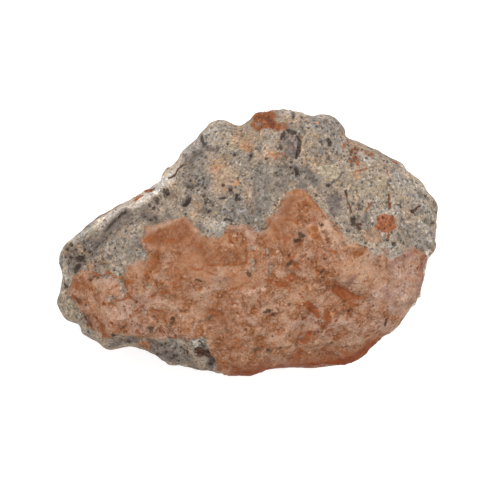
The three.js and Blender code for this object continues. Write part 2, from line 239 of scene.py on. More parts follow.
shape = (FACE_STEPS[1] + 1, FACE_STEPS[0] + 1)
face_index = np.arange(shape[0] * shape[1]).reshape(shape)
back_index = face_index[::2, ::2].copy()  # its border shares every second point of the face's border
inner = back_index[1:-1, 1:-1]
inner[:] = face_index.size + np.arange(inner.size).reshape(inner.shape)
back_points = sheet(BACK_STEPS, -1).reshape(*back_index.shape, 3)[1:-1, 1:-1].reshape(-1, 3)
directions = np.concatenate([sheet(FACE_STEPS, 1), back_points])
five_sided, six_sided = [], []
for quarter in range(4):  # the back's outermost cells also take the face's points between their corners
    b, f = np.rot90(back_index, quarter), np.rot90(face_index, quarter)
    five_sided.append(np.stack([b[0, 1:-2], f[0, 3:-3:2], b[0, 2:-1], b[1, 2:-1], b[1, 1:-2]], axis=-1))
    six_sided.append([[b[0, 0], f[0, 1], b[0, 1], b[1, 1], b[1, 0], f[1, 0]]])
back_cells = [quads(inner), np.concatenate(five_sided), np.concatenate(six_sided)]
cells = [quads(face_index)] + [c[:, ::-1] for c in back_cells]
ball_points = body(directions)
normals = body_normals(directions)

# ---- Its main relief ----
# Swells, hollows, ridges and broken roughness, the same forms as the solid's, all measured outwards.

FACE_FADE = (0.03, 0.38)  # how far the skin faces up between which the face's own forms come in
RIM_BAND, ROUGHNESS_AT_RIM = 2.2, 0.1
ROUGHNESS = [(0.9, 9.0, 0.0), (0.6, 4.2, 0.0), (0.3, 2.4, 0.0)]  # heights, wavelengths and shifts
SWELLS = [  # plan place, half-widths, turn in degrees, lift
    (-4.2, 16.2, 2.8, 2.0, 20, 0.9),  # knob over the notch
    (-0.7, 15.6, 1.3, 2.2, 0, -0.6),  # notch
    (7.5, 16.6, 6.0, 2.6, -8, 0.9),  # top lobe
    (16.4, 12.6, 2.2, 3.0, 35, -0.6),  # step down beside it
    (-2.6, 9.8, 5.2, 4.0, 25, 0.5),
    (2.8, 8.2, 2.0, 3.4, 0, -0.4),
    (22.2, 7.4, 4.6, 3.8, -40, 0.5),
    (12.6, 6.4, 1.8, 3.2, 10, -0.45),
    (-9.0, 7.6, 2.4, 1.6, 50, 0.4),
    (-21.6, 0.6, 5.4, 1.7, 36, -0.95),  # dark trough under the long ridge
    (-25.4, -3.2, 1.5, 1.3, 0, -0.9),
    (-27.0, -8.8, 1.7, 1.6, 0, 0.6),
    (-26.8, -5.6, 1.4, 1.3, 0, -0.45),
    (-16.6, -1.2, 3.4, 1.8, 30, -0.35),
    (-10.4, 1.6, 3.2, 2.0, 14, 0.7),  # first peak
    (-13.8, -2.9, 1.4, 1.2, 60, -0.7),  # pool beside it
    (-1.2, 0.2, 3.6, 2.4, 0, 0.55),  # middle block
    (3.0, -3.2, 2.2, 2.8, 0, -0.5),  # fluted hollow
    (8.0, 4.6, 2.6, 3.6, -10, 0.8),  # second peak
    (11.0, 1.9, 1.2, 1.7, -25, 0.7),  # knob on its flank
    (7.4, -0.4, 1.6, 1.5, 0, -0.6),
    (12.4, -3.2, 2.6, 1.8, -40, 0.45),
    (14.9, -7.4, 2.4, 1.2, -35, -0.9),  # bright pool
    (9.6, -10.2, 1.3, 2.4, 15, -0.8),
    (8.4, -15.4, 1.0, 2.0, -8, -0.7),
    (3.6, -11.8, 4.4, 3.2, 10, 0.6),
    (-17.0, -8.0, 5.6, 2.6, 0, 0.55),  # left shelf
    (-8.0, -7.2, 4.6, 1.6, 8, 0.35),
    (-7.0, -11.4, 5.0, 1.6, -4, -0.45),
    (20.0, -8.2, 3.2, 3.0, -40, 0.5),
    (23.4, -3.6, 2.4, 2.4, 0, -0.35),
    (-9.6, -15.6, 4.4, 1.3, -14, -0.5),  # bare strip under the crust
]
RIDGES = [  # half-width, lift, plan line
    (1.0, 0.95, (-26.6, -1.4), (-22.8, 1.2), (-19.2, 3.4), (-15.4, 5.4), (-11.8, 7.8)),
    (0.9, 0.55, (-11.8, 7.8), (-9.4, 10.4), (-7.6, 13.2), (-6.2, 15.6)),
    (1.0, 0.5, (-13.2, -7.6), (-7.2, -5.4), (0.2, -4.9), (6.4, -6.6)),
    (0.8, 0.5, (10.0, 5.2), (12.6, 2.2), (14.9, -0.6)),
    (1.2, 0.5, (26.0, -4.6), (22.6, -8.0), (18.4, -12.2), (14.0, -15.8)),
    (0.6, -0.4, (15.2, 8.4), (15.7, 5.4), (15.9, 1.6)),
    (0.7, -0.3, (-24.2, -9.2), (-18.0, -9.6), (-12.8, -7.9)),
]
CRUST_THICKNESS = 0.4
CRUST_EDGE = np.array([
    (-26.4, -4.9), (-24.8, -4.4), (-23.5, -4.0), (-22.0, -5.1), (-19.9, -4.9), (-18.4, -5.6),
    (-17.9, -4.0), (-17.0, -2.8), (-15.0, -2.7), (-14.7, -1.8), (-15.5, -0.2), (-14.6, 2.0),
    (-12.0, 2.6), (-9.2, 3.9), (-7.8, 2.4), (-6.8, 1.0), (-5.4, 0.7), (-4.1, 0.7), (-3.0, 2.4),
    (0.1, 2.5), (1.4, 1.4), (3.2, 1.9), (4.2, 3.8), (5.3, 6.3), (6.3, 7.9), (7.6, 8.2), (9.2, 6.9),
    (11.0, 5.0), (12.9, 2.4), (14.5, 0.4), (16.6, -0.6), (18.6, -1.9), (21.2, -2.2), (24.6, -1.0),
    (26.0, -1.6), (27.2, -4.0), (26.4, -7.0), (24.9, -9.4), (22.0, -12.8), (15.8, -18.2), (4.0, -19.4),
    (-2.2, -20.4), (-4.2, -18.2), (-5.3, -16.4), (-6.2, -14.0), (-9.2, -14.4), (-13.2, -14.4),
    (-17.4, -13.8), (-21.2, -13.8), (-23.6, -12.6), (-25.0, -10.2), (-26.4, -8.0),
])


def distance_to_line(xy, line):
    """Distance of each plan point from the nearest stretch of a line."""
    if len(line) == 1:
        return np.hypot(*(xy - line[0]).T)
    nearest = np.full(len(xy), np.inf)
    for a, b in zip(line[:-1], line[1:]):
        along = b - a
        t = np.clip((xy - a) @ along / (along @ along), 0.0, 1.0)
        nearest = np.minimum(nearest, np.hypot(*(xy - a - t[:, None] * along).T))
    return nearest


def depth_inside(xy, shape):
    """Distance into a closed plan shape: positive inside, negative outside."""
    inside = np.zeros(len(xy), bool)
    for a, b in zip(np.roll(shape, 1, axis=0), shape):
        crosses = (a[1] > xy[:, 1]) != (b[1] > xy[:, 1])
        with np.errstate(divide="ignore", invalid="ignore"):
            left = xy[:, 0] < a[0] + (xy[:, 1] - a[1]) / (b[1] - a[1]) * (b[0] - a[0])
        inside ^= crosses & left
    distance = distance_to_line(xy, np.vstack([shape, shape[:1]]))
    return np.where(inside, distance, -distance)


plan = ball_points[:, :2]
on_face = smoothstep(*FACE_FADE, normals[:, 2])
above_rim = ball_points[:, 2] - rim_height(plan)
rim_share = 1.0 - (1.0 - ROUGHNESS_AT_RIM) * np.exp(-((above_rim / RIM_BAND) ** 2))
main_relief = rim_share * layered(ball_points, *ROUGHNESS)
for x, y, half_u, half_v, degrees, lift in SWELLS:
    turn = math.radians(degrees)
    dx, dy = plan[:, 0] - x, plan[:, 1] - y
    u = (dx * math.cos(turn) + dy * math.sin(turn)) / half_u
    v = (dy * math.cos(turn) - dx * math.sin(turn)) / half_v
    main_relief += on_face * lift * np.exp(-(u**2 + v**2))
for half, lift, *line in RIDGES:
    main_relief += on_face * lift * np.exp(-((distance_to_line(plan, np.array(line)) / half) ** 2))
settled = (ball_points + normals * main_relief[:, None])[:, :2]  # where each point ends up in plan

# ---- The crust's reach ----
# Caliche that grew on the lower half of the face while the stone lay in desert soil. It wraps under the
# lower side and covers most of the back in patches. Positive is under crust, in millimetres from its edge.

STONE_LENGTH = 57.0
STONE_LENGTH_PIXELS = 380  # and what it takes up of the camera's picture
PIXEL = STONE_LENGTH / STONE_LENGTH_PIXELS
ORIGIN_PIXEL = (247, 242.5)  # the one over the origin: X runs right from it, Y runs up and pixels run down

# Strokes by which the crust reaches further or less far, as half-width, softness (none) and pixels.
CRUST_PATCHES = [
    (2.2, 0, 92, 267, 97, 262, 104, 264), (3.6, 0, 140, 341, 149, 344), (1.6, 0, 268, 222, 276, 214),
    (4.2, 0, 289, 195, 293, 194), (3.8, 0, 303, 195), (3, 0, 308, 200),
]
CRUST_GAPS = [
    (1.4, 0, 123, 285, 125, 290), (1.3, 0, 211, 240, 206, 234),
    (4, 0, 437, 250, 433, 262, 430, 275, 426, 288, 420, 300),
]
EDGE_WANDER = [(0.34, 1.5, 3.7), (0.2, 0.75, 3.7), (0.12, 0.4, 3.7)]
BACK_COVER = 1.3  # how deep the back is in the crust on the whole
BACK_PATCHES = [(4.6, 15.0, 5.3), (1.3, 4.0, 2.9)]
REACH_LIMIT = 4.0
UNDER_RIM = (0.3, -3.2)  # heights off the rim between which the face's edge gives way to the back's patches
UNDER_WANDER = 1.5  # half of how far that line wanders down


def stroke(half, soft, *pixels):
    """A brush stroke on the camera's picture as its half-width, softness and plan line in millimetres: the
    line's steps from the origin's pixel times the pixel's size, to the nearest tenth."""
    x = [round((right - ORIGIN_PIXEL[0]) * PIXEL, 1) for right in pixels[::2]]
    y = [round((ORIGIN_PIXEL[1] - down) * PIXEL, 1) for down in pixels[1::2]]
    return round(half * PIXEL, 2), round(soft * PIXEL, 2), np.column_stack([x, y])


face_depth = depth_inside(plan, CRUST_EDGE)
for patch in CRUST_PATCHES:
    half, _, line = stroke(*patch)
    face_depth = np.maximum(face_depth, half - distance_to_line(settled, line))
for gap in CRUST_GAPS:
    half, _, line = stroke(*gap)
    face_depth = np.minimum(face_depth, distance_to_line(settled, line) - half)
face_depth += layered(ball_points, *EDGE_WANDER)
back_depth = BACK_COVER + layered(ball_points, *BACK_PATCHES)
under = smoothstep(*UNDER_RIM, above_rim + UNDER_WANDER * (1.0 + noise(ball_points, 5.0, 9.3)))
face_depth, back_depth = (np.clip(depth, -REACH_LIMIT, REACH_LIMIT) for depth in (face_depth, back_depth))
crust = (1.0 - under) * face_depth + under * back_depth

# ---- Clasts, stains, pools, veins and grit on the face, with some painted shade and highlights ----
# Each is a brush stroke laid out in pixels of the camera's picture: half-width, softness, then its
# line. A wash's colour and strength come first. All are measured on the settled plan, later over earlier.

LIGHT = 1.07  # what the studio light multiplies a face-up colour by
COLOURS = {
    "tan": (0.32, 0.254, 0.194),
    "chalk": (0.60, 0.535, 0.465),
    "mist": (0.40, 0.365, 0.315),
    "ash": (0.20, 0.175, 0.148),
    "slate": (0.15, 0.122, 0.105),
    "ink": (0.052, 0.038, 0.031),
    "straw": (0.36, 0.298, 0.212),
    "peach": (0.40, 0.255, 0.165),
    "apricot": (0.40, 0.215, 0.12),
    "pinkish": (0.37, 0.235, 0.155),
    "purple": (0.17, 0.14, 0.125),
    "white": (0.56, 0.51, 0.45),
    "rust": (0.25, 0.076, 0.026),
    "brick": (0.31, 0.10, 0.042),
    "brown": (0.07, 0.03, 0.016),
    "scar": (0.15, 0.04, 0.016),
    "salmon": (0.305, 0.136, 0.070),
    "ochre": (0.215, 0.081, 0.036),
    "honey": (0.345, 0.15, 0.07),
    "toffee": (0.26, 0.086, 0.028),
    "buff": (0.435, 0.255, 0.163),
    "rosy": (0.44, 0.285, 0.22),
    "umber": (0.27, 0.127, 0.077),
    "mauve": (0.29, 0.155, 0.118),
    "smudge": (0.17, 0.095, 0.06),
    # rust_edge: dark red of the rust flecks in the crust, and of the down-facing bottom rim, where it is
    # partly painted shade
    "rust_edge": (0.19, 0.046, 0.014),
    "amber": (0.285, 0.068, 0.012),
    "deep": (0.28, 0.086, 0.03),
    "veil": (0.44, 0.275, 0.19),
    "grit": (0.075, 0.042, 0.026),
    "window": (0.34, 0.26, 0.20),
}
# How deep a mark lies, in millimetres, how glossy it is, how smooth a wash leaves the crust, and the
# pixels that the small dark marks are drawn wider by, because the grain eats into them.
SINK = {
    "amber": 0.13, "toffee": 0.08, "deep": 0.09, "grit": 0.14, "smudge": 0.08, "ink": 0.13, "slate": 0.04,
    "brown": 0.16, "scar": 0.13, "window": 0.14, "veil": -0.06, "brick": 0.04, "rust": 0.03,
}
GLOSS = {"amber": 1.0, "toffee": 0.25, "deep": 0.3, "brick": 0.1}
SMOOTH = {"ochre": 1.0, "honey": 1.0, "salmon": 1.0, "buff": 0.7, "rust_edge": 1.3, "rosy": 0.25}
WIDER = {"ink": 0.2, "slate": 0.1, "grit": 0.1}
ROCK_WASHES = [
    # The first four washes pale the bevel along the long ridge at the upper left: partly pale rock, partly
    # painted highlight where the light falls on it
    ("white", 0.7, 3.5, 3, 128, 207, 150, 195, 168, 182),
    ("mist", 0.8, 4, 3.5, 72, 242, 84, 233, 97, 226),
    ("chalk", 0.95, 5, 3.5, 102, 223, 110, 216, 125, 206, 140, 199, 155, 190, 166, 180, 175, 170),
    ("chalk", 0.45, 4, 3.5, 178, 166, 188, 154, 198, 142),
    ("mist", 0.6, 5, 4, 205, 133, 214, 128, 224, 125),
    ("mist", 0.3, 10, 8, 228, 148, 244, 160),
    ("mist", 0.6, 8, 6, 315, 124, 332, 134, 340, 146),
    ("mist", 0.5, 8, 6, 396, 176, 414, 196, 424, 216, 424, 240),
    ("ash", 0.7, 10, 6, 196, 158, 206, 178),
    ("ash", 0.5, 9, 7, 230, 156, 243, 158, 258, 180),
    ("ash", 0.5, 9, 7, 262, 172, 278, 190),
    ("mist", 0.5, 6, 5, 207, 140, 215, 138),
    ("slate", 0.85, 7.5, 3, 73, 251, 75, 263),
    ("slate", 0.8, 6.5, 3.5, 92, 249, 101, 242),
    ("slate", 0.55, 4, 3, 105, 235, 112, 226),
    ("slate", 0.45, 3.5, 2.5, 114, 219, 127, 212),
    ("ash", 0.5, 13, 8, 118, 244, 134, 252),
    # Painted shadow: this slate wash darkens a shaded patch of the grey rock
    ("slate", 0.4, 7, 5, 190, 166, 188, 184),
    ("slate", 0.3, 9, 6, 149, 212, 155, 217),
    ("slate", 0.65, 7, 5, 86, 244, 104, 233, 124, 222, 142, 214),
    # Partly pale rock, partly painted highlight, at the upper end of the same lit bevel
    ("chalk", 0.6, 4, 3, 172, 160, 184, 152),
    ("ash", 0.5, 5, 4, 288, 126, 296, 131),
    ("ash", 0.35, 10, 8, 368, 188, 384, 192),
    ("ash", 0.4, 8, 6, 185, 172, 202, 180),
    ("ash", 0.35, 10, 7, 232, 188, 246, 196),
    ("mist", 0.5, 6, 5, 166, 340, 174, 341),
    ("slate", 0.4, 6, 5, 200, 344, 212, 350),
    ("ash", 0.6, 9, 6, 232, 212, 250, 214),
    ("slate", 0.35, 7, 3, 288, 140, 290, 150),
    ("straw", 0.35, 5, 4, 163, 203, 170, 208),
    ("ash", 0.55, 12, 8, 212, 208, 240, 212, 262, 218),
    ("ash", 0.65, 11, 7, 284, 172, 308, 182),
    ("ash", 0.5, 12, 8, 325, 128, 330, 145),
    ("slate", 0.25, 10, 8, 322, 128, 334, 132),
    ("ash", 0.4, 9, 7, 258, 166, 275, 168),
    ("peach", 0.5, 10, 7, 216, 168, 225, 184),
    ("pinkish", 0.6, 4, 3, 264, 231, 271, 221, 279, 207, 286, 197),
    ("pinkish", 0.5, 3, 3, 206, 240, 213, 237),
    ("peach", 0.5, 6, 4, 238, 140, 248, 148),
    ("peach", 0.4, 5, 4, 266, 153, 277, 156),
    ("peach", 0.35, 6, 5, 247, 190, 248, 200),
    ("peach", 0.3, 5, 5, 195, 203, 197, 208),
    ("slate", 0.35, 8, 6, 352, 224, 362, 222),
    ("straw", 0.45, 12, 8, 362, 186, 392, 190),
    ("chalk", 0.4, 4, 3, 360, 153, 368, 162),
    ("chalk", 0.35, 5, 4, 404, 165, 418, 180, 430, 195),
    ("chalk", 0.4, 3, 3, 285, 112, 310, 113, 330, 118),
    ("mist", 0.5, 10, 7, 214, 228, 221, 232),
    ("mist", 0.5, 9, 6, 372, 250, 390, 252),
    ("ash", 0.5, 9, 6, 405, 235, 416, 240),
    ("mist", 0.4, 8, 6, 375, 210, 395, 212),
    ("chalk", 0.6, 4, 3, 430, 262, 424, 280, 414, 298, 404, 312),
    ("slate", 0.75, 8, 5, 152, 348, 178, 354, 192, 362),
    ("brown", 0.4, 2.5, 2.5, 190, 367, 212, 371),
    ("straw", 0.5, 6, 5, 63, 304, 72, 314),
    ("mist", 0.5, 5, 4, 60, 258, 64, 278),
]
CRUST_WASHES = [
    ("salmon", 0.9, 14, 5, 165, 238, 190, 236, 204, 256),
    ("salmon", 0.9, 9, 5, 178, 266, 214, 276, 250, 281),
    ("salmon", 0.8, 8, 4, 137, 268, 155, 262),
    ("salmon", 0.8, 11, 5, 285, 200, 286, 218, 268, 232),
    ("ochre", 1, 10, 4.5, 154, 238, 172, 238, 184, 228),
    ("ochre", 0.75, 8, 5, 196, 246, 212, 256, 238, 257),
    ("honey", 0.5, 6, 4, 214, 242, 228, 240),
    ("ochre", 0.15, 8, 6, 160, 258, 176, 256),
    ("buff", 0.15, 7, 6, 168, 266, 210, 268),
    ("ochre", 0.55, 9, 6, 287, 206, 286, 220),
    ("honey", 0.6, 5, 3.5, 278, 196, 290, 192),
    ("ochre", 0.5, 9, 7, 292, 240, 292, 262),
    ("honey", 0.85, 3.5, 2.5, 298, 192, 306, 198, 314, 206, 322, 218),
    ("buff", 0.95, 4.5, 2.5, 322, 219, 331, 235, 342, 246),
    ("honey", 1, 5.5, 2.2, 311, 229, 315, 233),
    # Painted shadow under the knob
    ("ochre", 0.5, 2.5, 2, 317, 238, 321, 243),
    ("buff", 0.7, 5, 4, 338, 236, 352, 246),
    ("buff", 0.6, 9, 7, 345, 262, 365, 262, 378, 282),
    ("rosy", 0.8, 13, 6, 400, 264, 408, 280, 398, 290),
    ("rosy", 0.6, 8, 6, 380, 292, 368, 300),
    ("ochre", 0.6, 2.5, 2, 386, 265, 396, 258, 404, 256, 414, 250, 420, 252, 423, 268, 420, 282, 414, 290),
    ("umber", 0.75, 4, 3, 70, 286, 77, 296, 84, 312, 92, 326),
    ("ochre", 0.7, 5, 4, 76, 283, 84, 282),
    ("ochre", 0.6, 5, 4, 92, 272, 94, 284),
    ("ochre", 0.6, 5, 5, 94, 330, 108, 333),
    ("buff", 0.4, 8, 4, 105, 284, 116, 286),
    ("buff", 0.35, 9, 7, 96, 303, 112, 306),
    ("rosy", 0.35, 12, 8, 128, 310, 150, 300),
    ("rosy", 0.4, 8, 6, 116, 316, 142, 322),
    ("buff", 0.6, 5, 4, 356, 282, 362, 272, 350, 268),
    ("rosy", 0.45, 7, 5, 332, 262, 322, 256),
    ("ochre", 0.5, 5, 4, 158, 293, 176, 290),
    ("buff", 0.45, 6, 5, 163, 303, 178, 314),
    ("umber", 0.4, 5, 5, 135, 303, 150, 304),
    ("umber", 0.55, 5, 4, 135, 328, 165, 332, 185, 334),
    ("ochre", 0.6, 9, 6, 206, 312, 222, 316),
    ("ochre", 0.5, 9, 7, 222, 300, 232, 324),
    ("ochre", 0.6, 8, 6, 232, 338, 242, 346),
    ("umber", 0.4, 8, 6, 250, 300, 270, 306),
    ("buff", 0.2, 8, 6, 258, 282, 240, 280),
    ("buff", 0.3, 11, 8, 264, 326, 278, 332),
    ("buff", 0.4, 8, 6, 306, 290, 324, 300),
    ("buff", 0.4, 8, 6, 290, 310, 288, 322),
    ("rosy", 0.35, 9, 6, 300, 326, 310, 322),
    ("rosy", 0.7, 7, 4, 366, 322, 376, 318, 386, 326),
    ("rosy", 0.6, 8, 6, 392, 306, 404, 300),
    ("rosy", 0.45, 9, 6, 352, 330, 340, 322),
    ("umber", 0.45, 8, 6, 335, 350, 346, 354),
    ("ochre", 0.5, 8, 6, 308, 352, 326, 352),
    # These two washes darken the bottom rim: partly the crust's own red-brown, partly painted shade on the
    # edge that faces away from the light
    ("rust_edge", 0.5, 6, 4, 222, 366, 240, 368, 270, 364, 300, 361, 335, 358),
    ("rust_edge", 1, 7.5, 4, 238, 374, 250, 373, 285, 368, 330, 365, 348, 360, 362, 351, 372, 344),
    ("buff", 0.4, 7, 5, 137, 264, 142, 282),
    ("buff", 0.55, 7, 5, 286, 292, 296, 298),
    ("buff", 0.6, 8, 5, 336, 266, 350, 274, 346, 282),
    ("rosy", 0.5, 5, 4, 246, 230, 252, 240),
    ("buff", 0.5, 2.5, 1.8, 146, 238, 151, 231, 160, 227.5, 172, 222.5, 184, 217.5),
    ("buff", 0.7, 2.4, 2, 188, 220, 196, 232),
    ("buff", 0.3, 12, 8, 184, 302, 196, 300),
    ("buff", 0.2, 9, 7, 330, 332, 345, 330),
    ("buff", 0.5, 2.2, 1.6, 222, 231, 232, 226, 244, 229),
    ("umber", 0.6, 6, 5, 266, 308, 276, 312),
    ("umber", 0.4, 8, 6, 242, 308, 250, 316),
    ("umber", 0.5, 6, 5, 412, 268, 411, 284),
    ("umber", 0.5, 6, 5, 396, 290, 392, 298),
    ("umber", 0.5, 7, 5, 320, 322, 326, 330),
    ("umber", 0.4, 8, 6, 350, 322, 336, 340),
    ("window", 0.35, 6, 5, 222, 283, 218, 278),
]
